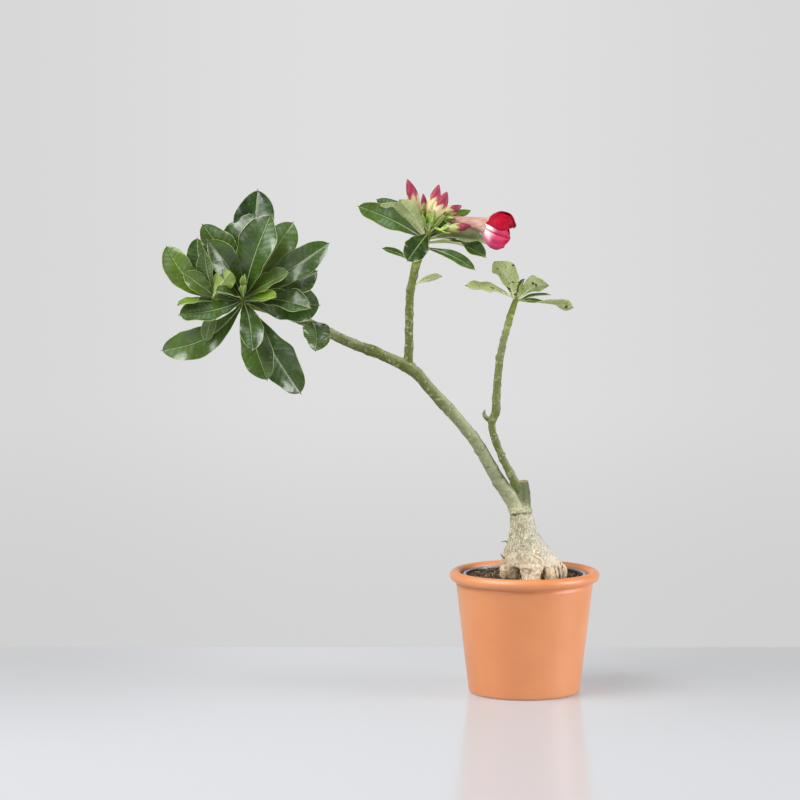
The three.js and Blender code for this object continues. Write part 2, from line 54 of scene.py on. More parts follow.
# The rolled rim's round: its distance from the pot's axis, its height and its radius
BEAD_CENTRE = (60.4, 102)
BEAD_RADIUS = 4.6
TERRACOTTA = "e28d54"
TERRACOTTA_PALE = "e89a63"
TERRACOTTA_DEEP = "d47f48"


def paint(code):
    """A colour code as the shader's own numbers."""
    parts = [int(code[i:i + 2], 16) / 255 for i in (0, 2, 4)]
    return tuple(c / 12.92 if c <= 0.04045 else ((c + 0.055) / 1.055) ** 2.4 for c in parts)


def find(sockets, key):
    """A socket by its number, its identifier or its name."""
    if isinstance(key, int):
        return sockets[key]
    for trait in ("identifier", "name"):
        for socket in sockets:
            if getattr(socket, trait) == key:
                return socket
    raise KeyError(key)


def add_node(tree, kind, settings=None, inputs=None):
    """A new node's outputs; its settings are set first, then its sockets' values or links."""
    made = tree.nodes.new(kind)
    for key, value in (settings or {}).items():
        setattr(made, key, value)
    for key, value in (inputs or {}).items():
        socket = find(made.inputs, key)
        if isinstance(value, bpy.types.NodeSocket):
            tree.links.new(value, socket)
        elif socket.type == "RGBA":
            socket.default_value = (*(paint(value) if isinstance(value, str) else value), 1)
        else:
            socket.default_value = value
    return made.outputs


def reckoned(operation, flipped=False):
    """A method that adds a maths node, its own value first or, where flipped, last."""
    def method(self, *others):
        return self.math(operation, *((*others, self) if flipped else (self, *others)))
    return method


class Value:
    """A socket that can be reckoned with; each step adds a node to its finish."""

    def __init__(self, finish, socket):
        self.finish = finish
        self.socket = socket

    def math(self, operation, *terms):
        return self.finish.node("ShaderNodeMath", {"operation": operation}, dict(enumerate(terms)))

    __add__, __radd__ = reckoned("ADD"), reckoned("ADD", True)
    __sub__, __rsub__ = reckoned("SUBTRACT"), reckoned("SUBTRACT", True)
    __mul__, __rmul__ = reckoned("MULTIPLY"), reckoned("MULTIPLY", True)
    __truediv__ = reckoned("DIVIDE")
    __pow__ = reckoned("POWER")
    __abs__ = reckoned("ABSOLUTE")
    sine = reckoned("SINE")

    def rise(self, low, high):
        """0 below low, 1 above high, eased between; low above high falls instead."""
        settings = {"interpolation_type": "SMOOTHSTEP"}
        start, end = (1, 0) if low > high else (0, 1)
        limits = {1: min(low, high), 2: max(low, high), 3: start, 4: end}
        return self.finish.node("ShaderNodeMapRange", settings, {0: self, **limits})

    def mix(self, none, full):
        """The colour none where this is 0 and full where it is 1."""
        inputs = {"Factor_Float": self, "A_Color": none, "B_Color": full}
        return self.finish.node("ShaderNodeMix", {"data_type": "RGBA"}, inputs, "Result_Color")


class Finish:
    """A material, built node by node."""

    def __init__(self, name):
        self.material = bpy.data.materials.new(name)
        self.material.use_nodes = True
        self.tree = self.material.node_tree
        self.tree.nodes.clear()

    def node(self, kind, settings=None, inputs=None, output=0):
        """One output of a new node; inputs are numbers, colours, colour codes or values."""
        plain = {key: getattr(value, "socket", value) for key, value in (inputs or {}).items()}
        return Value(self, find(add_node(self.tree, kind, settings, plain), output))

    def place(self):
        return self.node("ShaderNodeTexCoord", output="Object")

    def along(self, axis):
        return self.node("ShaderNodeSeparateXYZ", None, {0: self.place()}, axis)

    def stretched(self, scale):
        inputs = {"Vector": self.place(), "Scale": scale}
        return self.node("ShaderNodeMapping", {"vector_type": "POINT"}, inputs)

    def cloud(self, scale, detail=3, roughness=0.5, vector=None):
        inputs = {"Vector": vector or self.place(), "Scale": scale, "Detail": detail, "Roughness": roughness}
        return self.node("ShaderNodeTexNoise", None, inputs)

    def trait(self, name):
        return self.node("ShaderNodeAttribute", {"attribute_name": name}, None, "Fac")

    def bump(self, height, depth, strength=1):
        inputs = {"Height": height, "Distance": depth, "Strength": strength}
        return self.node("ShaderNodeBump", None, inputs)

    def surface(self, **sockets):
        inputs = {name.replace("_", " "): value for name, value in sockets.items()}
        shader = self.node("ShaderNodeBsdfPrincipled", None, inputs)
        end = self.tree.nodes.new("ShaderNodeOutputMaterial")
        self.tree.links.new(shader.socket, end.inputs["Surface"])
        return self.material


def layered(tone, *coats):
    """A tone under its coats, each a mask and the colour that covers where the mask is 1."""
    for mask, colour in coats:
        tone = mask.mix(tone, colour)
    return tone


def placed(name, data):
    """A new object at the origin of the scene."""
    piece = bpy.data.objects.new(name, data)
    scene.collection.objects.link(piece)
    return piece


def shape(name, body):
    """A smooth piece from a body's points, in millimetres, and its faces."""
    points, faces = body
    mesh = bpy.data.meshes.new(name)
    mesh.from_pydata((np.asarray(points, float) * MM).tolist(), [], faces)
    mesh.shade_smooth()
    return placed(name, mesh)


def fit(piece, material, slot, *nodes):
    """Gives a piece its finish and sets it on the object, in place of CAD nodes."""
    piece.data.materials.clear()
    piece.data.materials.append(material)
    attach(piece, "root")
    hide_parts(*nodes)


def arc(centre, radius, start, end, steps):
    """The points of a profile's round stretch between two directions in degrees."""
    angles = np.radians(np.linspace(start, end, steps + 1))
    return [(centre[0] + radius * math.cos(a), centre[1] + radius * math.sin(a)) for a in angles]


def ring_of(radius, height, sides):
    """A level ring of points about the pot's axis."""
    angles = np.radians(np.arange(sides) * 360 / sides)
    return np.column_stack([radius * np.cos(angles), radius * np.sin(angles), np.full(sides, float(height))])


def loft(rings):
    """Points and faces of a closed body skinned over rings of equal count."""
    count = len(rings[0])
    points = np.vstack([*rings, rings[0].mean(0), rings[-1].mean(0)])
    faces = []
    for k in range(len(rings) - 1):
        low, high = k * count, (k + 1) * count
        faces += [(low + i, low + (i + 1) % count, high + (i + 1) % count, high + i) for i in range(count)]
    end, top = len(points) - 2, (len(rings) - 1) * count
    faces += [((i + 1) % count, i, end) for i in range(count)]
    faces += [(top + i, top + (i + 1) % count, end + 1) for i in range(count)]
    return points, faces


def turned(profile):
    """A body turned about the pot's axis; its profile starts and ends on the axis."""
    return loft([ring_of(radius, height, POT_SIDES) for radius, height in profile[1:-1]])


base, side = POT_BASE_RADIUS, POT_RADIUS
inner_base = POT_BASE_RADIUS - POT_WALL
cover_pot = shape("cover_pot", turned([
    (0, 0.6), (base - 6.5, 0.6), *arc((base - 5.6, 1), 1, 200, 270, 3), (base - 3.4, 0),
    *arc((base - 2.9, 3), 3, 275, 350, 6), (base + 0.6, 8), (base + 2.7, 25), (base + 5.6, 50),
    (base + 8.4, 74), (side - 0.2, 92.6), (side, 94.3), (side - 0.35, 94.9), (side - 0.7, 95.5),
    (side - 0.35, 96.2), (side, 96.9), *arc(BEAD_CENTRE, BEAD_RADIUS, 252, 520, 26), (55.75, 102.2),
    (55.5, 100), (54.6, 98), (side - POT_WALL, 95), (52.2, 80), (48.5, 45), (inner_base + 0.8, POT_FLOOR + 3),
    *arc((inner_base - 2.4, POT_FLOOR + 3), 3, 0, -80, 4), (inner_base - 4, POT_FLOOR), (0, POT_FLOOR),
]))

clay = Finish("satin_terracotta")
clay_cloud = clay.cloud(17, 4, 0.55)
clay_wash = clay.cloud(5, 2, 0.5, clay.stretched((1, 1, 0.25)))
clay_grain = clay.cloud(1300, 2)
clay_speck = clay.cloud(420, 2)
fit(cover_pot, clay.surface(
    Base_Color=layered(
        clay_cloud.rise(0.3, 0.72).mix(TERRACOTTA, TERRACOTTA_PALE),
        (clay_wash.rise(0.35, 0.75) * 0.35, TERRACOTTA_DEEP),
        (clay_speck.rise(0.66, 0.74) * 0.22, "b96a3c"),
    ),
    Roughness=0.42 + clay_cloud * 0.1 + clay_grain * 0.05,
    Normal=clay.bump(clay_grain * 0.6 + clay_cloud * 2.2, 0.0001, 0.35),
    IOR=1.45,
    Coat_Weight=0.9,
    Coat_Roughness=0.4,
), "terracotta", "terracotta_pot")


# Nursery pot
# A thin pot of black moulded plastic with a flat lip. The plant was grown in it, and it
# stands loose inside the cover pot.

NURSERY_FLOOR = 7.3
NURSERY_RIM_RADIUS = 53.4
NURSERY_RIM_TOP = 103.7
LIP_ROUND = 0.8
rim, lip, floor = NURSERY_RIM_RADIUS, NURSERY_RIM_TOP - LIP_ROUND, NURSERY_FLOOR
nursery_pot = shape("growing_pot", turned([
    (0, floor), (36, floor), (37.1, floor + 1), (43, 52), (49.4, 97), (50.1, 98.7), (50.9, 99.25),
    (rim - 0.5, 99.5), (rim - 0.1, 99.9), (rim, 100.4), *arc((rim - LIP_ROUND, lip), LIP_ROUND, 0, 90, 5),
    *arc((rim - 1.9, lip), LIP_ROUND, 90, 180, 5), (rim - 2.9, 101.4), (rim - 3.6, 100.2), (49.2, 98.4),
    (42.1, 52), (36.2, floor + 1.9), (35.4, floor + 0.9), (0, floor + 0.9),
]))
plastic = Finish("black_plastic")
dust = plastic.cloud(60, 5, 0.65)
fit(nursery_pot, plastic.surface(
    Base_Color=layered(
        dust.rise(0.5, 0.85).mix("141517", "3c3e42"),
        # Painted highlight: a pale grey-blue band round the top of the lip.
        (plastic.along("Z").rise(0.1018, 0.103) * 0.7, "a4abb1"),
    ),
    Roughness=0.22 + dust * 0.3,
    Coat_Weight=0.5,
    Coat_Roughness=0.15,
    Normal=plastic.bump(plastic.cloud(900), 0.00006, 0.4),
), "nursery_plastic", "nursery_pot")


# Caudex, roots and bare limbs
# One woody body: a swollen beige foot with roots like toes, a scarred ring where it was
# grafted, a cut stump and green-grey limbs with old leaf scars and pale breathing pores.

CAUDEX_FOOT = 85.8
CAUDEX_AXIS = 6.7
# Each root's direction in degrees, how far it reaches and its half width in degrees
ROOTS = [(348, 10.4, 20), (312, 6.5, 9), (268, 5.5, 26), (187, 10.2, 13), (122, 7, 20), (62, 6, 22)]
# Hollows between the roots: direction, depth, half width in degrees, height of the arch
HOLLOWS = [(222, 12, 10, 109.5), (298, 9, 5, 109), (329, 8, 5, 110), (343, 6, 4, 108), (250, 1.6, 4, 112)]
# Height, centre x, core radius and how much of each root shows
CAUDEX = np.array([
    (CAUDEX_FOOT, CAUDEX_AXIS, 19, 1), (102, CAUDEX_AXIS, 19, 1), (106.5, 6.6, 19.3, 0.95),
    (112, 5.9, 19.2, 0.82), (118, 4.4, 18.6, 0.56), (124, 2.7, 17, 0.37), (131, 1, 14.4, 0.24),
    (138, -0.5, 11.9, 0.15), (144.5, -1.6, 10.4, 0.1), (150.5, -2.4, 9.9, 0.05), (155, -3.2, 9.6, 0.02),
    (157.5, -3.6, 10.2, 0), (161, -3.8, 9.3, 0), (165, -4.1, 6.2, 0),
])
# Limbs: x, y, z and radius at each station
LIMB = [
    (-4, 0, 156, 8.6), (-9.5, 0, 165.5, 6.9), (-23.9, 0, 186.7, 5.7), (-38.6, -1, 212.3, 5.3),
    (-47.9, -2, 225.7, 5.1), (-56.2, -2.5, 235.8, 5), (-64.6, -3, 245.4, 5.4), (-80, -4, 262.3, 4.9),
    (-94.8, -5, 279, 5), (-102, -5.5, 284, 5.3), (-115.1, -8, 290.4, 4.7), (-130.8, -12, 297.7, 4.6),
    (-147.8, -17, 304.2, 4.5), (-163.4, -23, 312, 4.4), (-185.4, -32, 323.2, 4.2), (-205.7, -40, 332, 4),
    (-224, -45.5, 337.6, 3.7), (-236, -47.5, 340.6, 3.4), (-240.2, -52, 343.2, 3.3), (-240.5, -62, 350, 2.2),
]
UPRIGHT = [
    (-101, -5, 284, 4.1), (-100.2, -5, 306.8, 3.5), (-100, -4, 332.6, 3.5), (-99.2, -3, 347.6, 3.5),
    (-96.7, -2, 360.8, 3.5), (-93.2, -1, 373.9, 3.6), (-89.3, 0, 384.4, 3.6), (-85.6, 0, 393.6, 3.4),
    (-82.5, 0, 401.5, 2.6),
]
RIGHT_SHOOT = [
    (-4.5, -1, 177, 3.6), (-9.4, -3, 184.8, 3.9), (-16.4, -4, 198.2, 3.3), (-21.8, -4, 210.2, 3.2),
    (-27, -4, 223.5, 3.1), (-28.7, -3, 235.3, 3.4), (-25.6, -2, 243.4, 3.7), (-24.7, 0, 256.2, 3.5),
    (-23.8, 2, 272, 3.4), (-21.7, 4, 290.3, 3.2), (-17.4, 6, 310.1, 3.1), (-12.2, 8, 328, 3),
    (-7, 9, 343.5, 2.2),
]
# The stations of each limb, and the one past which it is a green shoot
LIMBS = {"left": (LIMB, 16.2), "middle": (UPRIGHT, 5.75), "right": (RIGHT_SHOOT, 11.1)}
STUMP = [(-1.5, 0, 156, 7.6), (-1, 0, 164, 6.2), (-0.9, 0, 174, 5.5), (-2, 0, 184.5, 4.9)]
DEAD_TWIG = [(-27, -3, 237, 1.9), (-32.6, -4, 238.6, 1.7), (-35.4, -5, 242.6, 1.5), (-34.6, -5, 246.8, 0.7)]
FORK_STUB = [(-102, -6, 285, 1.7), (-106.2, -6.5, 290.8, 1.4)]
BUD_NUB = [(-23.5, -4, 209, 1.4), (-17.2, -4.5, 208.9, 0.9)]
ROUND_TOE = [(22, -14.5, 98, 5), (22.4, -17.2, 103.5, 5.2), (22, -15.5, 108, 4.2)]
FULL_TURN = 2 * math.pi
STATION_STEPS = 16
SKIN_VOXEL = 0.00072
SEARCH_BATCH = 6000
JOINT_HEIGHT = 156.5
CUT_HEIGHT = 183
FRESH_LENGTH = 34
# How far up a limb the first scar and the first knuckle lie, and how far apart the rest
FIRST_SCAR = 9
SCAR_PITCH = 6.3
FIRST_KNUCKLE = 16
KNUCKLE_PITCH = 15.5
KNUCKLE_HEIGHT = 0.5
GOLDEN_TURN = math.radians(137.5)
GOLDEN_SHARE = 0.618


def smoothstep(x, low, high):
    """0 below low, 1 above high, eased between."""
    u = np.clip((x - low) / (high - low), 0, 1)
    return u * u * (3 - 2 * u)


def hump(x, width):
    """1 at 0 and falling away on both sides within the width."""
    return np.exp(-(x / width) ** 2)


def unit(vectors):
    """Vectors brought to length 1."""
    return vectors / np.linalg.norm(vectors, axis=-1, keepdims=True)


def turn_from(degrees, direction):
    """How far round from a direction, between -180 and 180 degrees."""
    return (degrees - direction + 540) % 360 - 180


def caudex_ring(height, sides, extra=0.0):
    """The foot's outline at one height, with its toes and the hollows between them."""
    centre, core, toe = (np.interp(height, CAUDEX[:, 0], column) for column in CAUDEX[:, 1:].T)
    degrees = np.arange(sides) * 360 / sides
    radius = np.full(sides, core + extra)
    for direction, reach, width in ROOTS:
        radius += toe * reach * hump(turn_from(degrees, direction), width)
    for direction, depth, width, top in HOLLOWS:
        below_arch = 1 - smoothstep(height, top - 6, top + 3)
        radius -= depth * hump(turn_from(degrees, direction), width) * below_arch
    return ring_of(radius, height, sides) + (centre, 0, 0)


def followed(stations, per_span=STATION_STEPS):
    """Points, radii and lengths along the smooth centripetal line through a limb's stations."""
    knots = np.array(stations, float)
    lead, tail = 2 * knots[0] - knots[1], 2 * knots[-1] - knots[-2]
    padded = np.vstack([lead, knots, tail])[:, :3]
    steps = np.arange(per_span) / per_span
    line = []
    for i in range(len(knots) - 1):
        p0, p1, p2, p3 = padded[i:i + 4]
        d0, d1, d2 = (np.linalg.norm(b - a) ** 0.5 for a, b in ((p0, p1), (p1, p2), (p2, p3)))
        m1 = ((p1 - p0) / d0 - (p2 - p0) / (d0 + d1) + (p2 - p1) / d1) * d1
        m2 = ((p2 - p1) / d1 - (p3 - p1) / (d1 + d2) + (p3 - p2) / d2) * d1
        for u in steps:
            curve = p1 + m1 * u + (3 * (p2 - p1) - 2 * m1 - m2) * u ** 2 + (2 * (p1 - p2) + m1 + m2) * u ** 3
            line.append(curve)
    line = np.array([*line, knots[-1][:3]])
    radii = np.interp(np.arange(len(line)) / per_span, np.arange(len(knots)), knots[:, 3])
    lengths = np.concatenate([[0], np.cumsum(np.linalg.norm(np.diff(line, axis=0), axis=1))])
    return line, radii, lengths


def axes_along(directions):
    """Along, across and up for each direction."""
    along = unit(directions)
    across = unit(np.cross((0, 1, 0), along))
    return along, across, np.cross(along, across)


def tube(line, radii, sides=18, round_ends=True):
    """A closed tube along a line, its ends rounded over."""
    along, across, up = axes_along(np.gradient(line, axis=0))
    angles = np.arange(sides)[:, None] * FULL_TURN / sides

    def ring(k, share, push):
        spread = np.cos(angles) * across[k] + np.sin(angles) * up[k]
        return line[k] + radii[k] * (share * spread + push * along[k])

    rings = [ring(k, 1, 0) for k in range(len(line))]
    if round_ends:
        cap = [(math.cos(a), math.sin(a) * 0.7) for a in np.radians([35, 65])]
        rings = [ring(0, c, -s) for c, s in cap[::-1]] + rings + [ring(-1, c, s) for c, s in cap]
    return loft(rings)


def twig(stations, per_span, sides):
    """A closed tube along the smooth line through a few stations."""
    return tube(*followed(stations, per_span)[:2], sides)


def gathered(bodies):
    """Several bodies' points and faces as one list of each."""
    points, faces, shift = [], [], 0
    for body_points, body_faces in bodies:
        points.append(body_points)
        faces += [tuple(i + shift for i in face) for face in body_faces]
        shift += len(body_points)
    return np.vstack(points), faces


def taken(piece):
    """The mesh a piece has with its modifiers applied."""
    graph = bpy.context.evaluated_depsgraph_get()
    mesh = bpy.data.meshes.new_from_object(piece.evaluated_get(graph))
    piece.modifiers.clear()
    return mesh


def read_points(mesh):
    """A mesh's points in millimetres."""
    flat = np.zeros(len(mesh.vertices) * 3, np.float32)
    mesh.vertices.foreach_get("co", flat)
    return flat.reshape(-1, 3).astype(float) / MM


def write_points(mesh, points):
    """Moves a mesh's points to new places in millimetres."""
    mesh.vertices.foreach_set("co", (points * MM).astype(np.float32).ravel())
    mesh.update()


def mark(mesh, traits):
    """Values for each point that the finish can read, by name."""
    for name, values in traits.items():
        layer = mesh.attributes.new(name, "FLOAT", "POINT")
        layer.data.foreach_set("value", np.asarray(values, np.float32).ravel())


def lumps(points, scale, octaves, seed):
    """Smooth noise between about -1 and 1 at each point."""
    shift = Vector((seed, seed * 1.7, -seed))
    return np.array([noise.fractal(Vector(p) * scale + shift, 1, 2, octaves) for p in points])


limb_lines = {name: followed(stations) for name, (stations, _) in LIMBS.items()}
green_from = {name: int(station * STATION_STEPS) for name, (_, station) in LIMBS.items()}
bare_lines = [tuple(part[:green_from[name] + 1] for part in line) for name, line in limb_lines.items()]
bare_lines.append(followed(STUMP))
left_limb, middle_limb, right_limb, stump = range(len(bare_lines))
foot_heights = np.concatenate([np.arange(CAUDEX_FOOT, 158, 1.1), [159, 161, 163, 165]])
rough_plant = shape("rough_plant", gathered([
    loft([caudex_ring(z, 120) for z in foot_heights]),
    *[tube(line, radii, 24, False) for line, radii, _ in bare_lines],
    *[twig(part, 6, 12) for part in (FORK_STUB, BUD_NUB, ROUND_TOE, DEAD_TWIG)],
]))
skin = rough_plant.modifiers.new("Skin", "REMESH")
skin.mode = "VOXEL"
skin.voxel_size = SKIN_VOXEL
ease = rough_plant.modifiers.new("Ease", "SMOOTH")
ease.factor = 0.5
ease.iterations = 5
plant_mesh = taken(rough_plant)
bpy.data.objects.remove(rough_plant)
plant_mesh.name = "woody_plant_skin"

at = read_points(plant_mesh)
x, y, z = at.T
nearest = np.full(len(at), 1e9)
owner = np.full(len(at), -1)
along_limb, round_limb = np.zeros((2, len(at)))
for which, (line, radii, lengths) in enumerate(bare_lines):
    along, across, up = axes_along(np.gradient(line, axis=0))
    for start in range(0, len(at), SEARCH_BATCH):
        part = at[start:start + SEARCH_BATCH]
        away = np.linalg.norm(part[:, None] - line[None], axis=2) - radii
        best = away.argmin(1)
        gap = away[np.arange(len(part)), best]
        wins = np.flatnonzero(gap < nearest[start:start + SEARCH_BATCH])
        index, best = start + wins, best[wins]
        spoke = part[wins] - line[best]
        nearest[index] = gap[wins]
        owner[index] = which
        along_limb[index] = lengths[best] + (spoke * along[best]).sum(1)
        round_limb[index] = np.arctan2((spoke * up[best]).sum(1), (spoke * across[best]).sum(1))
foot_angle = np.arctan2(y, x - np.interp(z, CAUDEX[:, 0], CAUDEX[:, 1]))
above_joint = z - JOINT_HEIGHT - 0.12 * x - 0.6 * np.sin(foot_angle * 3) - 0.5 * lumps(at, 0.3, 2, 9.0)
foot = 1 - smoothstep(above_joint, -1.2, 1)

scar, scar_rim, knuckle = np.zeros((3, len(at)))
for which, usual_radius in ((left_limb, 5.0), (middle_limb, 3.6), (right_limb, 3.4)):
    mine = np.flatnonzero(owner == which)
    length = bare_lines[which][2][-1]
    for j in range(int(length / SCAR_PITCH)):
        height = FIRST_SCAR + j * SCAR_PITCH * (0.86 + 0.28 * ((j * GOLDEN_SHARE) % 1))
        turn = (j * GOLDEN_TURN + which) % FULL_TURN
        aside = (round_limb[mine] - turn + 3 * math.pi) % FULL_TURN - math.pi
        reach = np.hypot((along_limb[mine] - height) / 1.5, aside * usual_radius / 2.1)
        scar[mine] += np.exp(-(reach * 1.15) ** 2)
        scar_rim[mine] += hump(reach - 1, 0.35)
    for j in range(int(length / KNUCKLE_PITCH)):
        height = FIRST_KNUCKLE + j * KNUCKLE_PITCH * (0.9 + 0.2 * ((j * GOLDEN_SHARE) % 1))
        one_side = 0.5 + 0.5 * np.cos(round_limb[mine] - math.pi * (j % 2) - 0.5 * math.sin(2.3 * j))
        knuckle[mine] += hump(along_limb[mine] - height, 2.6) * one_side
scar *= 1 - foot
scar_rim *= 1 - foot

normals = np.zeros(len(at) * 3, np.float32)
plant_mesh.vertex_normals.foreach_get("vector", normals)
normals = normals.reshape(-1, 3).astype(float)
wrinkle = lumps(at * (1, 1, 0.45), 0.45, 2, 3.0) * 1.5
toes = lumps(at, 0.13, 3, 7.0)
foot_lift = 0.24 * wrinkle * smoothstep(z, 108, 128)
foot_lift += (1.1 * toes + 0.45 * lumps(at, 0.4, 2, 5.0)) * (1 - smoothstep(z, 108, 132)) + 0.25 * toes
limb_lift = 0.32 * lumps(at, 0.25, 2, 11.0) + 0.2 * scar_rim + 0.5 * scar + KNUCKLE_HEIGHT * knuckle
near_joint = np.abs(x + 4) < 13
joint = hump(above_joint, 0.9) * near_joint
joint_lift = (0.5 * hump(above_joint - 1.8, 1.3) - 0.45 * joint) * near_joint
lift = foot * foot_lift + (1 - foot) * limb_lift + joint_lift
write_points(plant_mesh, at + normals * lift[:, None])

bare_plant = placed("woody_plant", plant_mesh)
plant_mesh.shade_smooth()
degrees_round = np.degrees(foot_angle) % 360
# Painted shade: the hollows between the toes are painted dark.
shade_in_hollows = np.zeros(len(at))
for direction, _, width, top in HOLLOWS[:4]:
    shade_in_hollows += hump(turn_from(degrees_round, direction), width) * (1 - smoothstep(z, top - 5, top + 1))
# The foot's right-front side is paler: partly waxy bloom, partly painted highlight from the right lamp.
side_bloom_and_sheen = hump(turn_from(degrees_round, 330), 42) * smoothstep(z, 104, 120)
# Painted sheen: limb faces turned up towards the lamps are painted paler.
painted_top_sheen = smoothstep(normals @ (0.42, -0.1, 0.9), 0.25, 0.95)
limb_green = 0.2 + 0.75 * smoothstep(along_limb, 50, 190) - 0.35 * smoothstep(along_limb, 190, 240)
right_green = 0.75 - 0.45 * smoothstep(along_limb, 90, 170)
fresh_from = np.array([lengths[-1] for _, _, lengths in bare_lines])[np.maximum(owner, 0)] - FRESH_LENGTH
mark(plant_mesh, {
    "foot": foot,
    "low": 1 - smoothstep(z, 106, 132),
    "scar": np.clip(scar, 0, 1),
    "scar_rim": np.clip(scar_rim, 0, 1),
    "cut_face": smoothstep(z, CUT_HEIGHT, CUT_HEIGHT + 1.3) * (np.hypot(x + 2, y) < 6) * (owner == stump),
    "joint": joint,
    "green": np.select(
        [owner == left_limb, owner == middle_limb, owner == right_limb], [limb_green, 1, right_green], 0,
    ),
    "fresh": smoothstep(along_limb - fresh_from, 0, 30) * (owner < stump),
    "pores": (1 - foot) * 0.85 + 0.15,
    "hollow": np.clip(shade_in_hollows, 0, 1) * foot,
    "bloom": foot * side_bloom_and_sheen + (1 - foot) * painted_top_sheen,
    "rust": hump(turn_from(degrees_round, 187), 38) * (1 - smoothstep(z, 104, 124)) * foot,
    "stump": (owner == stump) * smoothstep(z, 158, 166) * (1 - foot),
    "flecks": hump(z - 158, 8) * (np.abs(x + 6) < 16) * smoothstep(-x, -9, 2),
})

bark = Finish("living_bark")
bark_foot, bark_low, bark_green, bark_bloom_and_sheen = (bark.trait(name) for name in ("foot", "low", "green", "bloom"))
bark_mottle = bark.cloud(130, 4, 0.6)
bark_patch = bark.cloud(45, 3, 0.6)
bark_fine = bark.cloud(700, 3, 0.6)
bark_net = bark.cloud(500, 2, 0.65, bark.stretched((1, 1, 0.38)))
bark_crease = bark.cloud(260, 3, 0.6, bark.stretched((1, 1, 0.25)))
bark_fleck = bark.cloud(330, 3, 0.65)
bark_grain = bark.cloud(620, 3, 0.65)
stump_grain = bark.cloud(150, 3, 0.6, bark.stretched((1, 1, 0.2)))
limb_tone = layered(
    bark_patch.rise(0.35, 0.66).mix("6d7444", "8f9568"),
    (bark_green.rise(0.75, 0.2) * 0.6, "abaf90"),
    (bark_green * (0.25 + bark_mottle.rise(0.25, 0.6) * 0.65), "5d6a24"),
    (bark_green * 0.3, "3f4a12"),
    # Painted sheen: pale grey on the limbs' faces turned up towards the lamps.
    (bark_bloom_and_sheen * bark_patch.rise(0.2, 0.5) * 0.85 * (1 - bark_green * 0.7), "c0c2a6"),
    (bark.trait("fresh") * 0.85, bark_mottle.rise(0.35, 0.68).mix("68762a", "8a983f")),
    (bark_mottle.rise(0.56, 0.68) * 0.4, "aeab76"),
    (bark_fleck.rise(0.6, 0.66) * 0.6, "c6c29c"),
    (bark_grain.rise(0.36, 0.3) * 0.5, "4a5030"),
    (bark.trait("scar") * 0.6, "aaa47e"),
    (bark.trait("scar_rim") * 0.4, "464d2c"),
    (bark.trait("stump") * 0.88, stump_grain.rise(0.35, 0.65).mix("37442a", "656f4a")),
)
foot_dry = (1 - bark_low) * (1 - bark_bloom_and_sheen * 0.5)
foot_tone = layered(
    bark_patch.rise(0.3, 0.7).mix("c0b997", "d6cfb4"),
    (bark_grain.rise(0.46, 0.6) * 0.5, "e3ddc6"),
    (bark_low * 0.9, bark_patch.rise(0.3, 0.65).mix("e8c8a0", "fbe6cc")),
    # The foot's paler right-front side: waxy bloom with painted highlight.
    (bark_bloom_and_sheen * 0.6, "e2dcd0"),
    (abs(bark_net - 0.5).rise(0.05, 0) * foot_dry * 0.8, "545136"),
    (abs(bark_crease - 0.5).rise(0.035, 0) * (1 - bark_low * 0.3) * 0.55, "4f4832"),
    (bark.trait("rust") * bark_mottle.rise(0.35, 0.6) * 0.8, "8e6d3c"),
    (bark_low * bark_fleck.rise(0.61, 0.66) * 0.85, "5f4629"),
    # Painted shade in the hollows between the toes.
    (bark.trait("hollow") * 0.85, "35261a"),
)
bark_tone = layered(
    bark_foot.mix(limb_tone, foot_tone),
    (bark.trait("flecks") * bark_grain.rise(0.42, 0.54) * 0.85, "d0caa6"),
    (bark.trait("flecks") * bark_fleck.rise(0.56, 0.62) * 0.7, "55523a"),
    (bark.trait("joint") * bark_fleck.rise(0.42, 0.52) * 0.8, "4c4930"),
    (bark.trait("cut_face") * 0.9, bark_fleck.rise(0.4, 0.6).mix("8d7f5f", "b9ab84")),
)
bark_relief = abs(bark_net - 0.5).rise(0, 0.09) * 0.5 + abs(bark_crease - 0.5).rise(0, 0.06) * 0.8
bark_relief = bark_relief * bark_foot * (1 - bark_low * 0.6)
fit(bare_plant, bark.surface(
    Base_Color=bark_tone,
    Roughness=0.62 + bark_fine * 0.22 - bark_green * 0.1,
    Specular_IOR_Level=0.3,
    Normal=bark.bump(bark_fine * 0.4 + bark_relief + bark_fleck * 0.6 + bark_mottle * 0.8, 0.0006, 0.6),
), "bark", "woody_plant")
plant_tree = BVHTree.FromObject(bare_plant, bpy.context.evaluated_depsgraph_get())


# Thin roots and dead twigs
# A pale curly root lies on the caudex, finer ones beside it, and dry twigs stand where
# side shoots died back. They grow from the same wood.

# x and z of each root's points, its radius at the start and at the end
THIN_ROOTS = [
    ([
        (10.2, 123.3), (11.8, 123.6), (11.6, 125.2), (10.2, 126), (8.4, 125.8), (7, 124.2), (7.4, 121.5),
        (10.4, 119.6), (13.6, 117.8), (15.4, 114.2), (14.7, 111), (13.4, 108.8), (14.6, 105.6),
        (15.2, 101.5),
    ], 1.1, 1.3),
    ([(7.4, 120), (5.6, 117.4), (3.6, 115), (2, 112.6)], 0.7, 0.3),
    ([(14.8, 104), (16.6, 102.4), (18.4, 101.4)], 0.7, 0.4),
    ([(-6.5, 112), (-8.2, 108), (-8.6, 104)], 0.5, 0.3),
]
FINGER_ROOTS = [
    [(27.2, -14.6, 99, 1.5), (27.6, -15.2, 104, 1.4), (27, -13.6, 108.4, 1.1), (26.2, -10, 110, 0.8)],
    [(31.8, -11.8, 99, 0.6), (31, -12.2, 105, 0.7), (30.2, -11.6, 111, 0.7), (29.4, -8, 114, 0.5)],
    [
        (34.2, -9, 99, 0.9), (35.4, -10, 104, 1.1), (35, -9.4, 109.2, 1.2), (32.4, -7, 112, 1),
        (29, -5, 112.4, 0.7),
    ],
]
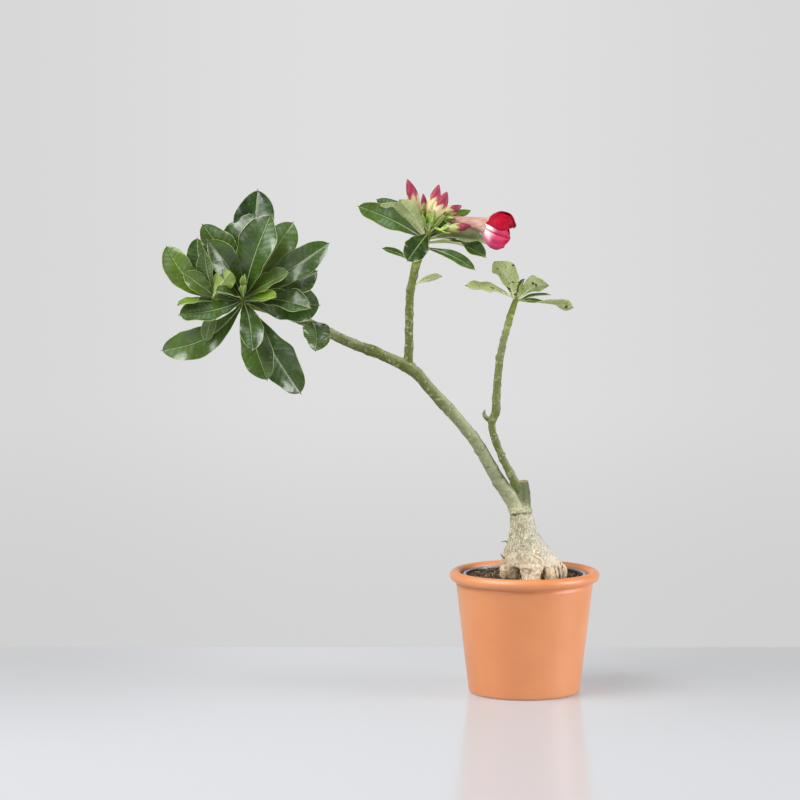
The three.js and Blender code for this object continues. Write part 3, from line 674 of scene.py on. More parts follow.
DRY_TWIGS = [
    [(-15.4, -6, 131.8, 0.7), (-18.2, -7.4, 132.6, 0.45), (-20.4, -8, 131.9, 0.28)],
    [(-17.6, -5, 117.6, 0.7), (-19.8, -6, 119.4, 0.5), (-20.8, -6.4, 121.4, 0.3)],
    [(29.4, -9, 109.8, 0.8), (30.4, -9.6, 112.4, 0.7), (30.6, -9.8, 114.6, 0.4)],
]


def on_bark(x, z, sink):
    """The point of the plant's near side at x and z, sunk a little into it."""
    hit = plant_tree.ray_cast(Vector((x, -200, z)) * MM, Vector((0, 1, 0)))[0]
    return np.array((x, hit.y / MM + sink, z))


root_bodies = []
for places, thick, thin in THIN_ROOTS:
    radii = [thick + (thin - thick) * i / len(places) for i in range(len(places))]
    root_bodies.append(twig([(*on_bark(*place, 0.15), radius) for place, radius in zip(places, radii)], 6, 8))
root_bodies += [twig(stations, 8, 12) for stations in FINGER_ROOTS]
twig_bodies = [twig(stations, 8, 10) for stations in DRY_TWIGS]
thin_roots = shape("thin_roots_and_twigs", gathered(root_bodies + twig_bodies))
pale_points, dead_points = (sum(len(points) for points, _ in bodies) for bodies in (root_bodies, twig_bodies))
mark(thin_roots.data, {"dead": np.repeat([0, 1], [pale_points, dead_points])})
dry = Finish("dry_root")
dry_tone = dry.cloud(300, 3).rise(0.35, 0.7).mix("efe2ca", "cfb894")
fit(thin_roots, dry.surface(
    Base_Color=dry.trait("dead").mix(dry_tone, "948a68"),
    Roughness=0.75,
    Normal=dry.bump(dry.cloud(900, 3), 0.0004, 0.5),
), "bark")


# Breathing pores
# Small pale corky dots that stand a little proud of the bark all over the limbs.

def scatter_tree():
    """Geometry nodes that strew small lumps over a surface where a trait is high."""
    tree = bpy.data.node_groups.new("Strewn lumps", "GeometryNodeTree")
    face = tree.interface
    for name, kind in (
        ("Surface", "NodeSocketGeometry"), ("Where", "NodeSocketString"), ("Density", "NodeSocketFloat"),
        ("Smallest", "NodeSocketFloat"), ("Largest", "NodeSocketFloat"), ("Lump shape", "NodeSocketVector"),
        ("Tumble", "NodeSocketFloat"), ("Sink", "NodeSocketFloat"), ("Seed", "NodeSocketInt"),
        ("Finish", "NodeSocketMaterial"),
    ):
        face.new_socket(name=name, in_out="INPUT", socket_type=kind)
    face.new_socket(name="Lumps", in_out="OUTPUT", socket_type="NodeSocketGeometry")
    given = tree.nodes.new("NodeGroupInput").outputs

    def add(kind, settings=None, inputs=None):
        return add_node(tree, kind, settings, inputs)

    trait = add("GeometryNodeInputNamedAttribute", {"data_type": "FLOAT"}, {"Name": given["Where"]})
    density = add("ShaderNodeMath", {"operation": "MULTIPLY"}, {0: trait[0], 1: given["Density"]})
    points = add("GeometryNodeDistributePointsOnFaces", {"distribute_method": "RANDOM"}, {
        "Mesh": given["Surface"], "Density": density[0], "Seed": given["Seed"],
    })
    sunk = add("ShaderNodeVectorMath", {"operation": "SCALE"}, {0: points["Normal"], "Scale": given["Sink"]})
    points_set = add("GeometryNodeSetPosition", None, {"Geometry": points["Points"], "Offset": sunk[0]})
    lump = add("GeometryNodeMeshIcoSphere", None, {"Radius": 1.0, "Subdivisions": 1})
    formed = add("GeometryNodeTransform", None, {"Geometry": lump["Mesh"], "Scale": given["Lump shape"]})
    smooth = add("GeometryNodeSetShadeSmooth", None, {"Geometry": formed[0]})
    seed_2 = add("ShaderNodeMath", {"operation": "ADD"}, {0: given["Seed"], 1: 7.0})
    size = add("FunctionNodeRandomValue", {"data_type": "FLOAT"}, {
        "Min_001": given["Smallest"], "Max_001": given["Largest"], "Seed": given["Seed"],
    })
    tumble = add("ShaderNodeMath", {"operation": "MULTIPLY"}, {0: given["Tumble"], 1: -1.0})
    low = add("ShaderNodeCombineXYZ", None, {0: tumble[0], 1: tumble[0], 2: -math.pi})
    high = add("ShaderNodeCombineXYZ", None, {0: given["Tumble"], 1: given["Tumble"], 2: math.pi})
    turn = add("FunctionNodeRandomValue", {"data_type": "FLOAT_VECTOR"}, {
        "Min": low[0], "Max": high[0], "Seed": seed_2[0],
    })
    as_rotation = add("FunctionNodeEulerToRotation", None, {0: turn[0]})
    turned_lump = add("FunctionNodeRotateRotation", {"rotation_space": "LOCAL"}, {
        "Rotation": points["Rotation"], "Rotate By": as_rotation[0],
    })
    many = add("GeometryNodeInstanceOnPoints", None, {
        "Points": points_set[0], "Instance": smooth[0], "Rotation": turned_lump[0], "Scale": size[1],
    })
    real = add("GeometryNodeRealizeInstances", None, {"Geometry": many[0]})
    done = add("GeometryNodeSetMaterial", None, {"Geometry": real[0], "Material": given["Finish"]})
    tree.links.new(done[0], tree.nodes.new("NodeGroupOutput").inputs[0])
    return tree


strewn = scatter_tree()


def strew(name, host, material, **settings):
    """Lumps strewn on a host's surface, as a mesh of their own."""
    layer = host.modifiers.new("Strew", "NODES")
    layer.node_group = strewn
    chosen = {key.replace("_", " "): value for key, value in settings.items()}
    chosen["Finish"] = material
    for item in strewn.interface.items_tree:
        if item.in_out == "INPUT" and item.name in chosen:
            layer[item.identifier] = chosen[item.name]
    mesh = taken(host)
    mesh.name = name
    return placed(name, mesh)


pore = Finish("corky_pore")
pore_finish = pore.surface(
    Base_Color=pore.cloud(500).rise(0.3, 0.7).mix("a5a585", "cfcbae"),
    Roughness=0.8,
)
fit(strew(
    "breathing_pores", bare_plant, pore_finish, Where="pores", Density=14000.0, Smallest=0.0002,
    Largest=0.00042, Lump_shape=(1.5, 0.9, 0.45), Tumble=0.1, Sink=0.00002, Seed=4,
), pore_finish, "bark")


# Potting mix
# Dark peat and bark fines with pale grit, heaped a little to the left. The roots hold it
# round the caudex's foot.

SOIL_TOP = 99.5
SOIL_EDGE = 48.7
SOIL_FOOT = (35.5, 8.6)
SOIL_SIDES = 180
soil_rings = [caudex_ring(CAUDEX_FOOT - 0.5, SOIL_SIDES, -0.5)]
inner, outer = caudex_ring(SOIL_TOP, SOIL_SIDES, -0.6), ring_of(SOIL_EDGE, SOIL_TOP, SOIL_SIDES)
for share in [*np.linspace(0, 0.96, 26), 1]:
    ring = inner * (1 - share) + outer * share
    heap = 1.4 * np.exp(-((ring[:, 0] + 34) ** 2 + (ring[:, 1] - 8) ** 2) / 500)
    heap += 2.2 * smoothstep(ring[:, 1], -5, 40) - 0.4 * share
    ring[:, 2] = SOIL_TOP + heap + 0.9 * lumps(ring, 0.16, 3, 2.0) + 0.35 * lumps(ring, 0.6, 2, 5.0)
    soil_rings.append(ring)
soil_rings.append(ring_of(*SOIL_FOOT, SOIL_SIDES))
potting_mix = shape("potting_mix", loft(soil_rings))
mark(potting_mix.data, {"bed": read_points(potting_mix.data)[:, 2] > SOIL_TOP - 2.5})

peat = Finish("peat")
fit(potting_mix, peat.surface(
    Base_Color=peat.cloud(420, 4, 0.7).rise(0.3, 0.75).mix("17110d", "4c3b2f"),
    Roughness=0.92,
    Normal=peat.bump(peat.cloud(900, 4, 0.7), 0.001, 1),
), "soil", "soil")

# Name, two colours, roughness, how many to a square metre, smallest and largest, and form
CRUMBS = [
    ("peat_crumbs", "1f1712", "5a4636", 0.9, 260000.0, 0.0006, 0.0015, (1, 0.8, 0.6)),
    ("bark_crumbs", "4a3426", "8a6a4c", 0.9, 60000.0, 0.0008, 0.0019, (1.5, 0.7, 0.5)),
    ("pale_grit", "b3a483", "e2d8c0", 0.8, 60000.0, 0.0005, 0.0011, (1, 0.9, 0.8)),
]
for seed, (name, first, second, roughness, density, smallest, largest, form) in enumerate(CRUMBS, 1):
    crumb = Finish(name)
    crumb_finish = crumb.surface(
        Base_Color=crumb.cloud(160, 3, 0.6).rise(0.38, 0.62).mix(first, second),
        Roughness=roughness,
        Normal=crumb.bump(crumb.cloud(1500, 2), 0.0004, 0.7),
    )
    fit(strew(
        name, potting_mix, crumb_finish, Where="bed", Density=density, Smallest=smallest, Largest=largest,
        Lump_shape=form, Tumble=1.5, Sink=0.0002, Seed=seed,
    ), crumb_finish, "soil")


# Green shoots
# The soft leafy ends of the limbs, ringed by the scars of shed leaves. Each grows on from
# the woody limb below it.

SIDE_SHOOT = [
    (-236, -48.5, 341, 2.6), (-250, -55, 341.5, 2.6), (-261, -62, 345, 2.5), (-266, -66.5, 348, 1.8),
]
side_line = followed(SIDE_SHOOT)


def green_end(name):
    """The young tube that a limb ends in."""
    line, radii, _ = limb_lines[name]
    return tube(line[green_from[name]:], radii[green_from[name]:], 22)


shoot_green = Finish("green_shoot")
shoot_mottle = shoot_green.cloud(160, 4, 0.6)
shoot_rings = shoot_green.cloud(330, 2, 0.5)
shoot_tone = shoot_mottle.rise(0.35, 0.68).mix("636f20", "82903a")
shoot_finish = shoot_green.surface(
    Base_Color=layered(shoot_tone, (shoot_rings.rise(0.6, 0.7) * 0.5, "5d6c37")),
    Roughness=0.45 + shoot_mottle * 0.2,
    Specular_IOR_Level=0.35,
    Normal=shoot_green.bump(shoot_rings + shoot_mottle, 0.0005, 0.5),
)
shoots = {
    "left_shoots": gathered([green_end("left"), tube(side_line[0], side_line[1], 20)]),
    "middle_shoot": green_end("middle"),
    "right_shoot": green_end("right"),
}
for shoot_name, shoot_body in shoots.items():
    fit(shape(shoot_name, shoot_body), shoot_finish, "leaf")


# Leaves
# Leathery blades with a waxy upper face, a pale midrib and margin and a paler underside.
# Each grows on a short stalk from its shoot, in a spiral that opens into a rosette. Their
# colour holds painted light: sheen patches on the upper face, shade towards each stalk,
# and an underside lightened as if lit through.

# Tip offset x, y, z from the rosette's centre, width, fold, arch, roll, sweep, twist, how
# far below the shoot's tip the leaf grows, and how young it is
LEFT_ROSETTE = {
    "shoot": limb_lines["left"],
    "face": (-0.05, -0.78, 0.62),
    "rows": [
        (12, 18, 86.5, 35, 12, 0.06, 4, 0.02, 0, 11, 0), (12, 6, 67, 42, 14, 0.09, -18, -0.03, 0, 9, 0.05),
        (24, -14, 67, 36, 18, 0.11, -6, 0.03, 0, 7, 0.1), (42, 6, 60, 30, 14, 0.05, 22, 0, 0, 9, 0.3),
        (72, 0, 43, 24.5, 14, 0.07, 28, 0.01, 0, 9, 0.1), (62, 8, 19, 29, 12, 0.06, 10, 0.05, 0, 11, 0.15),
        (39, -24, 20, 19, 24, 0.04, 0, 0.02, 0, 6, 0.3), (29, -30, 0, 15, 28, -0.04, 0, 0, 0, 3, 0.8),
        (57, -22, -10, 24, 18, 0.08, -8, 0, 0, 7, 0.1), (64, 6, -9.5, 33, 12, 0.06, 25, 0.01, 0, 11, 0.1),
        (9, -30, -44, 22, 16, 0.1, -20, 0, 0, 8, 0.05),
        (20.5, -14, -70.5, 27, 14, 0.1, 10, 0.01, 0, 11, 0.15),
        (47.8, 9, -84, 31, 10, 0.05, 0, 0.03, 0, 12, 0.1),
        (-68, 2, -47.5, 26, 10, 0.06, -32, -0.125, 0, 13, 0.25),
        (-52.5, -14, -16, 26, 18, 0.06, 0, -0.1, 0, 10, 0.15),
        (-33.5, 0, 58.5, 27, 10, 0.1, -12, 0.05, 20, 9, 0.15),
        (-28, -18, 46, 24, 18, 0.1, -2, 0.02, 0, 7, 0.15), (-37, 12, 42, 22, 12, 0.05, 0, 0, 0, 10, 0.05),
        (-21, -28, 5, 15, 24, 0.05, 0, -0.05, 0, 4, 0.2), (2, -24, 18, 9, 30, -0.05, 0, 0, 0, 1, 1),
        (1, -25, 9, 8, 30, -0.05, 0, 0, 0, 1, 1), (16, 34, 58, 26, 12, 0.05, 0, 0, 0, 13, 0),
        (-26, 32, 34, 24, 12, 0.05, 0, 0, 0, 13, 0), (46, 30, 6, 24, 12, 0.05, 0, 0, 0, 14, 0),
        (-38, 18, 4, 24, 12, 0.05, 0, 0, 0, 13, 0),
    ],
}
SIDE_ROSETTE = {
    "shoot": side_line,
    "face": (-0.45, -0.72, 0.5),
    "rows": [
        (-6, 4, -37, 12, 10, 0.06, -30, 0.02, 0, 7, 0.4), (-28, -14, -5.5, 13, 20, 0.04, 20, 0, 0, 5, 0.9),
        (16, -13, 23, 19, 12, -0.08, 222, 0, 0, 0, 0.8), (-23, -14, 21, 18, 16, 0.06, 12, -0.02, 0, 5, 0.38),
        (-38, -2, 42.5, 23.5, 12, 0.11, 0, -0.1, 0, 7, 0.42),
        (-12.8, 6, 49, 22, 20, 0.08, 5, -0.08, 0, 7, 0.1), (-6, -8, 39, 17, 24, 0.05, 0, -0.02, 0, 4, 0.2),
    ],
}
MIDDLE_ROSETTE = {
    "shoot": limb_lines["middle"],
    "face": (0.28, -0.1, 0.95),
    "rows": [
        (-60.5, -10, 20.2, 20, 16, 0.1, -64, 0, 0, 9, 0.2), (-45, 18, 25, 18, 12, 0.06, -30, 0, 0, 6, 0.1),
        (-43, -14, 22, 19, 16, 0.08, 45, 0, 0, 7, 0.2), (-25.5, -20, 26, 14.5, 16, 0.1, 55, 0, 0, 6, 0.2),
        (-19, -25, -25, 21, 5, 0.12, -22, 0, 0, 4, 0.05), (38, -14, -33, 12.5, 14, 0.08, 38, 0, 0, 16, 0.1),
        (47.2, -14, -22.6, 21, 14, 0.12, -36, 0, 70, 11.5, 0.1),
        (51, 0, -12, 21, 12, 0.1, -38, 0, 0, 8, 0.15), (35, 26, 15, 14, 12, 0.06, 0, 0, 0, 5, 0.3),
        (24, 34, -7, 18, 12, 0.06, 20, 0, 0, 8, 0.1), (-20, 40, 4, 19, 12, 0.08, 0, 0, 0, 9, 0.1),
        (4, -13, 17, 6, 20, -0.06, 0, 0, 0, 1, 1), (-7, -10, 14, 5, 20, -0.06, 0, 0, 0, 1, 1),
        (13, -12, 13, 6, 20, -0.06, 0, 0, 0, 1, 1),
    ],
}
RIGHT_ROSETTE = {
    "shoot": limb_lines["right"],
    "spotted": 1,
    "face": (0.12, -0.2, 0.97),
    "rows": [
        (-44, -10, 9.5, 17, -10, -0.07, 168, 0, 0, 2, 0.3),
        (-19.5, -14, 30.3, 22.5, 14, 0.07, 48, -0.06, 0, 3, 0.3),
        (25.8, -12, 10.8, 20, 18, 0.18, -50, 0, 0, 2, 0.3),
        (47.8, 0, -9.5, 18.5, 12, 0.04, 40, 0, -108, 3, 0.4), (29, 18, 0, 7, 14, 0.06, 0, 0, 0, 4, 0.2),
        (-4, 14, 15, 10, 20, 0.05, 0, 0, 0, 1, 0.6), (6, -4, 15, 9, 30, 0, 0, 0, 0, 0, 1),
        (-12, 26, 21, 16, 14, 0.08, 0, 0, 0, 4, 0.1),
    ],
}
WIDEST = 0.66
# Root, tip, face, the shape values, how young and where widest for leaves that grow singly
SINGLE_LEAVES = {
    "low_leaf": (
        (-183, -37, 325), (-179.5, -56, 302), (0.25, -1, 0.1), (25.5, 18, 0.12, 0, -0.05, 0), 0.3, 0.42,
    ),
    "upper_stem_leaf": (
        (-97.3, -2, 374.4), (-122.6, -10, 385.8), (0, -0.7, 0.7), (7.5, 16, 0.06, 0, 0, 0), 0.2, WIDEST,
    ),
    "lower_stem_leaf": (
        (-95.6, -3.2, 353.4), (-72.4, -6, 361.7), (0, 0.7, 0.7), (8, 12, 0.04, 0, 0.05, 0), 0.2, WIDEST,
    ),
}
# Where a blade's points lie: along it, root to tip, and across it, rib to margin
ALONG = np.concatenate([
    [0, 0.015, 0.03, 0.05, 0.075, 0.1], np.linspace(0.13, 0.9, 26), 1 - 0.1 * np.linspace(0.88, 0, 9) ** 1.6,
    [1.007, 1.016, 1.024],
])
HALF_ACROSS = np.array([0.04, 0.1, 0.2, 0.36, 0.54, 0.72, 0.88, 0.97, 1])
ACROSS = np.concatenate([-HALF_ACROSS[::-1], [0], HALF_ACROSS])
SIDE_VEINS = 15
VEIN_SLANT = 0.1
SEAT_DEPTH = 1.5


def half_width(s, widest):
    """A leaf's half width along it, as a share of the half width where it is widest."""
    r, q = np.clip(s / widest, 0, 1), np.clip((s - widest) / (1 - widest), 0, 1)
    low = 0.11 + 0.89 * (3 * r * r - 2 * r ** 3) ** 0.85
    return np.where(s < widest, low, np.maximum(1 - q ** 2.3, 0) ** 0.6)


def turned_about(vectors, axes, angles):
    """Vectors turned about their axes."""
    c, s = np.cos(angles)[:, None], np.sin(angles)[:, None]
    return vectors * c + np.cross(axes, vectors) * s + axes * (axes * vectors).sum(1)[:, None] * (1 - c)


def sheet(upper, lower):
    """Points and faces of a thin closed body between two grids of points."""
    rows, n = upper.shape[:2]
    points = np.vstack([upper.reshape(-1, 3), lower.reshape(-1, 3)])
    under = rows * n
    faces = []
    for k in range(rows - 1):
        for j in range(n - 1):
            a, b, c, d = k * n + j, k * n + j + 1, (k + 1) * n + j + 1, (k + 1) * n + j
            faces += [(a, b, c, d), (under + d, under + c, under + b, under + a)]
        faces.append((k * n, (k + 1) * n, under + (k + 1) * n, under + k * n))
        faces.append(((k + 1) * n + n - 1, k * n + n - 1, under + k * n + n - 1, under + (k + 1) * n + n - 1))
    for j in range(n - 1):
        top = (rows - 1) * n + j
        faces.append((j + 1, j, under + j, under + j + 1))
        faces.append((top, top + 1, under + top + 1, under + top))
    return points, faces


def leaf_blade(root, tip, face, values, young, number, widest=WIDEST, spotted=0):
    """One leaf: its points, its faces and what the finish reads at each point."""
    width, fold, arch, roll, sweep, twist = values
    root, tip, face = (np.array(v, float) for v in (root, tip, face))
    chord = tip - root
    length = np.linalg.norm(chord)
    along = chord / length
    normal = unit(face - along * face.dot(along))
    normal = turned_about(normal[None], along[None], np.radians([roll]))[0]
    side = np.cross(along, normal)
    s = ALONG[:, None]
    bulge, slope = length * np.sin(np.pi * s), np.pi * length * np.cos(np.pi * s)
    tangent = unit(chord + normal * arch * slope + side * sweep * slope)
    up = unit(normal - tangent * (tangent @ normal)[:, None])
    up = turned_about(up, tangent, np.radians(twist) * ALONG)
    sideways = np.cross(tangent, up)
    spine = root + chord * s + normal * arch * bulge + side * sweep * bulge
    tip_half = np.interp(ALONG, [0.97, 1, 1.024], [1, 0.6, 0.14])
    half = np.maximum(0.5 * width * half_width(ALONG, widest), tip_half)
    half = np.where(ALONG < 0.1, np.maximum(half, 1.25 - 3 * ALONG), half)
    t, out, h = ACROSS[None], np.abs(ACROSS[None]), half[:, None]
    phase = 2.4 * number
    nibble = 0.05 * np.sin(FULL_TURN * (1.9 + 0.6 * math.sin(phase)) * s + phase + 2.1 * np.sign(t))
    nibble += 0.022 * np.sin(FULL_TURN * 4.6 * s + 1.7 * phase + 1.3 * np.sign(t))
    nibble *= min(1, width / 24)
    h = h * (1 + nibble * smoothstep(out, 0.1, 1) * smoothstep(s, 0.2, 0.5))
    lean = math.radians(fold)
    curl = 1.4 * (1 + 0.16 * math.sin(2.3 * number))
    waves = np.sin(FULL_TURN * (2.4 + 0.7 * math.sin(number)) * s + 1.9 * number + 1.3 * t)
    ripple = 0.17 * min(1, width / 22) ** 2 * h * out ** 2.5 * waves
    raised = out ** curl * h * math.sin(lean) + ripple * smoothstep(s, 0.15, 0.5)
    middle = spine[:, None] + sideways[:, None] * (t * h * math.cos(lean))[..., None]
    middle += up[:, None] * raised[..., None]
    from_rib = out * h
    stalk = 1 - smoothstep(s, 0.02, 0.16)
    thick = 0.55 + 0.45 * (1 - out) * (1 - 0.6 * s) + 1.1 * stalk * (1 - t ** 2)
    groove = 0.22 * hump(from_rib, 0.75) * (1 - stalk)
    keel = 0.75 * hump(from_rib, 0.85) * (1 - 0.75 * s) * (1 - stalk)
    veins = np.sin(FULL_TURN * (SIDE_VEINS * s - VEIN_SLANT * from_rib))
    veins *= smoothstep(from_rib, 0.8, 2.5) * smoothstep(1 - out, 0.04, 0.3)
    quilt = 0.06 * veins + 0.25 * np.sin(FULL_TURN * 1.7 * s + phase) * out
    upper = middle + up[:, None] * (thick / 2 - groove + quilt)[..., None]
    lower = middle - up[:, None] * (thick / 2 + keel - quilt)[..., None]
    even = np.ones(from_rib.shape)
    traits = {
        "along": even * s, "from_rib": from_rib, "from_edge": (1 - out) * h, "young": even * young,
        "tone": even * ((number * GOLDEN_SHARE) % 1), "spotted": even * spotted,
    }
    traits = {name: np.tile(value.ravel(), 2) for name, value in traits.items()}
    traits["under"] = np.repeat([0, 1], even.size)
    return *sheet(upper, lower), traits


def leaf_piece(name, leaves):
    """Several leaves as one piece."""
    points, faces = gathered([leaf[:2] for leaf in leaves])
    piece = shape(name, (points, faces))
    mark(piece.data, {trait: np.concatenate([leaf[2][trait] for leaf in leaves]) for trait in leaves[0][2]})
    return piece


def rosette(name, *groups):
    """All the leaves of a rosette, each seated in the side of its shoot.

    A leaf's number sets its own waves and tone. Each rosette counts on from a start of its own.
    """
    leaves, number = [], len(name)
    for group in groups:
        line, _, lengths = group["shoot"]
        for row in group["rows"]:
            number += 1
            place = lengths[-1] - row[9]
            root, before = (
                np.array([np.interp(where, lengths, line[:, i]) for i in range(3)])
                for where in (place, place - 0.5)
            )
            along = unit(root - before)
            tip = line[-1] + row[:3]
            outward = tip - root
            root = root + SEAT_DEPTH * unit(outward - along * outward.dot(along))
            spotted = group.get("spotted", 0)
            leaves.append(leaf_blade(root, tip, group["face"], row[3:9], row[10], number, spotted=spotted))
    return leaf_piece(name, leaves)


leaf = Finish("leathery_leaf")
leaf_along, leaf_rib, leaf_edge = leaf.trait("along"), leaf.trait("from_rib"), leaf.trait("from_edge")
leaf_young, leaf_under, leaf_shade = leaf.trait("young"), leaf.trait("under"), leaf.trait("tone")
leaf_cloud = leaf.cloud(70, 4, 0.6)
leaf_fine = leaf.cloud(620, 3, 0.6)
leaf_blotch = leaf.cloud(180, 2, 0.5)
leaf_speck = leaf.cloud(380, 3, 0.65)
sheen_patch_cloud = leaf.cloud(48, 3, 0.5)
vein_wave = ((leaf_along * SIDE_VEINS - leaf_rib * VEIN_SLANT + leaf_blotch * 0.5) * FULL_TURN).sine()
vein_line = vein_wave.rise(0.9, 1) * leaf_rib.rise(0.5, 1.5) * leaf_edge.rise(0.4, 2.5)
rib_line = (leaf_rib + leaf_along * 0.45).rise(0.8, 0.35)
edge_line = leaf_edge.rise(0.5, 0.15)
# Painted sheen: pale blue-grey patches on the upper face between the veins.
painted_sheen_patches = sheen_patch_cloud.rise(0.5, 0.62) * (0.28 - vein_wave * 0.12) * leaf_rib.rise(0.6, 2.5) * leaf_edge.rise(0.5, 3)
upper_tone = layered(
    leaf_cloud.rise(0.3, 0.7).mix("0b1c07", "284a11"),
    (leaf_shade * 0.6, "2f4b1a"),
    (leaf_young, "7d9c26"),
    (leaf_blotch.rise(0.48, 0.72) * 0.4, "426428"),
    (leaf_speck.rise(0.58, 0.68) * 0.35, "5b7c38"),
    (leaf_speck.rise(0.4, 0.32) * 0.4, "14230f"),
    (vein_line * leaf_cloud.rise(0.3, 0.6) * 0.2, "6d8a4c"),
    # Painted shade: each blade darkens towards its stalk, where the leaves crowd.
    (leaf_along.rise(0.45, 0.04) * 0.75 * (1 - leaf_young), "0c1808"),
    (painted_sheen_patches, "8da38a"),
    (rib_line * 0.8, "a3b77c"),
    (edge_line * 0.8, "b0be7c"),
)
# The underside's own paler green, lightened further as painted light shining through the blade.
underside_tone_and_painted_light = layered(
    leaf_cloud.rise(0.3, 0.7).mix("b7c184", "dde4ae"),
    (leaf_young, "8fa84c"),
    (vein_line * 0.45, "778b52"),
    (leaf_speck.rise(0.62, 0.7) * 0.3, "c2cc9c"),
    (rib_line * 0.8, "e0e6bf"),
    (edge_line * 0.5, "c4cd9c"),
    (leaf_blotch.rise(0.63, 0.66) * leaf.trait("spotted") * 0.9, "3a2416"),
)
leaf_height = leaf_fine * 0.25 + vein_wave * 0.22 - vein_line * 0.25 + leaf_blotch * 1.2
leaf_finish = leaf.surface(
    Base_Color=layered(upper_tone, (leaf_under, underside_tone_and_painted_light), (leaf_along.rise(0.975, 1) * 0.7, "43331c")),
    Roughness=0.4 + leaf_fine * 0.12 + leaf_under * 0.2,
    Specular_IOR_Level=0.25,
    Normal=leaf.bump(leaf_height, 0.0006, 0.7),
    Coat_Weight=1 - leaf_under * 0.9,
    Coat_Roughness=0.2,
)
fit(rosette("left_rosette_leaves", LEFT_ROSETTE, SIDE_ROSETTE), leaf_finish, "leaf", "left_rosette")
fit(rosette("middle_rosette_leaves", MIDDLE_ROSETTE), leaf_finish, "leaf", "middle_rosette")
fit(rosette("right_rosette_leaves", RIGHT_ROSETTE), leaf_finish, "leaf", "right_rosette")
for number, (leaf_name, (root, tip, face, values, young, widest)) in enumerate(SINGLE_LEAVES.items()):
    single = leaf_piece(leaf_name + "_blade", [leaf_blade(root, tip, face, values, young, number, widest)])
    fit(single, leaf_finish, "leaf", leaf_name)


# Flower buds
# Five petals rolled round each other like a furled umbrella, cream and green at the foot
# and crimson where they are out in the light. Each sits in its calyx.

# Base, tip and greatest radius
BUDS = [
    ((-90.7, 2, 409.6), (-101.6, -2, 444.9), 5), ((-87, 9.6, 411), (-87.9, 12.6, 432), 2.8),
    ((-84, 3.5, 410), (-74.5, 4.5, 440), 4.8), ((-80, -5.5, 407.5), (-67.7, -12, 434.5), 5.2),
    ((-74.6, 3.5, 412.6), (-55, 5.5, 421.8), 4.2), ((-70.5, -12.6, 402.4), (-47.3, -22, 406), 3.8),
]
BUD_PROFILE = np.array([
    (0, 0.4), (0.12, 0.6), (0.3, 0.86), (0.5, 1), (0.68, 0.9), (0.84, 0.6), (0.95, 0.28), (1, 0.06),
])
# How green each bud's foot still is
UNRIPE = (0, 0, 0, 0, 0.15, 0.9)
PETALS = 5
STEPS_A_PETAL = 12
BUD_RINGS = 44
BUD_TWIST = 1.9


def eased(x, table):
    """A smooth line through a table's points."""
    places, heights = table.T
    slopes = np.gradient(heights, places)
    i = np.clip(np.searchsorted(places, x) - 1, 0, len(places) - 2)
    span = places[i + 1] - places[i]
    u = (x - places[i]) / span
    start, end = heights[i], heights[i + 1]
    return (
        start * (2 * u ** 3 - 3 * u ** 2 + 1) + end * (3 * u ** 2 - 2 * u ** 3)
        + span * (slopes[i] * (u ** 3 - 2 * u ** 2 + u) + slopes[i + 1] * (u ** 3 - u ** 2))
    )


def bud_body(base, tip, radius):
    """A furled bud: each petal's edge laps the next in a spiral."""
    _, across, up = axes_along(np.subtract(tip, base))
    step = np.arange(PETALS * STEPS_A_PETAL)
    lap = (step % STEPS_A_PETAL) / STEPS_A_PETAL
    rings, shares = [], np.linspace(0, 1, BUD_RINGS)
    for s in shares:
        furl = smoothstep(s, 0.25, 0.55)
        spread = radius * eased(s, BUD_PROFILE) * (1 + furl * 0.17 * (0.5 - lap ** 0.8))
        a = step * FULL_TURN / len(step) + BUD_TWIST * s ** 1.3
        spokes = np.cos(a)[:, None] * across + np.sin(a)[:, None] * up
        rings.append(base + np.subtract(tip, base) * s + spread[:, None] * spokes)
    traits = {
        "share": np.concatenate([np.repeat(shares, len(step)), [0, 1]]),
        "lap": np.concatenate([np.tile(lap, BUD_RINGS), [0, 0.5]]),
    }
    return loft(rings), traits


petal_bud = Finish("furled_petals")
bud_share, bud_unripe = petal_bud.trait("share"), petal_bud.trait("unripe")
bud_cloud = petal_bud.cloud(240, 3, 0.6)
from_lap = abs(petal_bud.trait("lap") - 0.5)
blush = (bud_share - from_lap * 0.34 + bud_cloud * 0.2).rise(0.54, 0.67)
bud_finish = petal_bud.surface(
    Base_Color=layered(
        bud_share.rise(0.05, 0.4).mix("a9bb58", "e0d3a0"),
        (bud_unripe, "a3ac5c"),
        (blush, "a02d49"),
        (blush * bud_unripe * 0.5, "6d1d24"),
        (blush * from_lap.rise(0.28, 0.46), "7d142c"),
        (blush * bud_cloud.rise(0.55, 0.75) * 0.4, "e08a98"),
    ),
    Roughness=0.48 + bud_cloud * 0.15,
    Normal=petal_bud.bump(petal_bud.cloud(700, 3), 0.0003, 0.4),
    Subsurface_Weight=0.12,
    Subsurface_Radius=(0.004, 0.0015, 0.001),
)
for number, (bud_row, unripe) in enumerate(zip(BUDS, UNRIPE), 1):
    body, traits = bud_body(*bud_row)
    bud = shape(f"furled_bud_{number}", body)
    mark(bud.data, {**traits, "unripe": np.full(len(body[0]), unripe)})
    fit(bud, bud_finish, "bud", f"bud_{number}")


# Open flower
# A funnel of thin petal tissue, salmon outside, that flares into five lapping lobes, pink
# with a white foot and a crimson edge. Its tube sits in the calyx.

FLOWER_BASE = np.array((-68, -5, 411.4))
FLOWER_THROAT = np.array((-34.9, -12, 405.6))
FLOWER_FRONT = np.array((-12.4, -15, 397.5))
PETAL_THICKNESS = 0.7
LOBE_THICKNESS = 0.55
LOBE_REACH = 23.5
FUNNEL_SIDES = 48
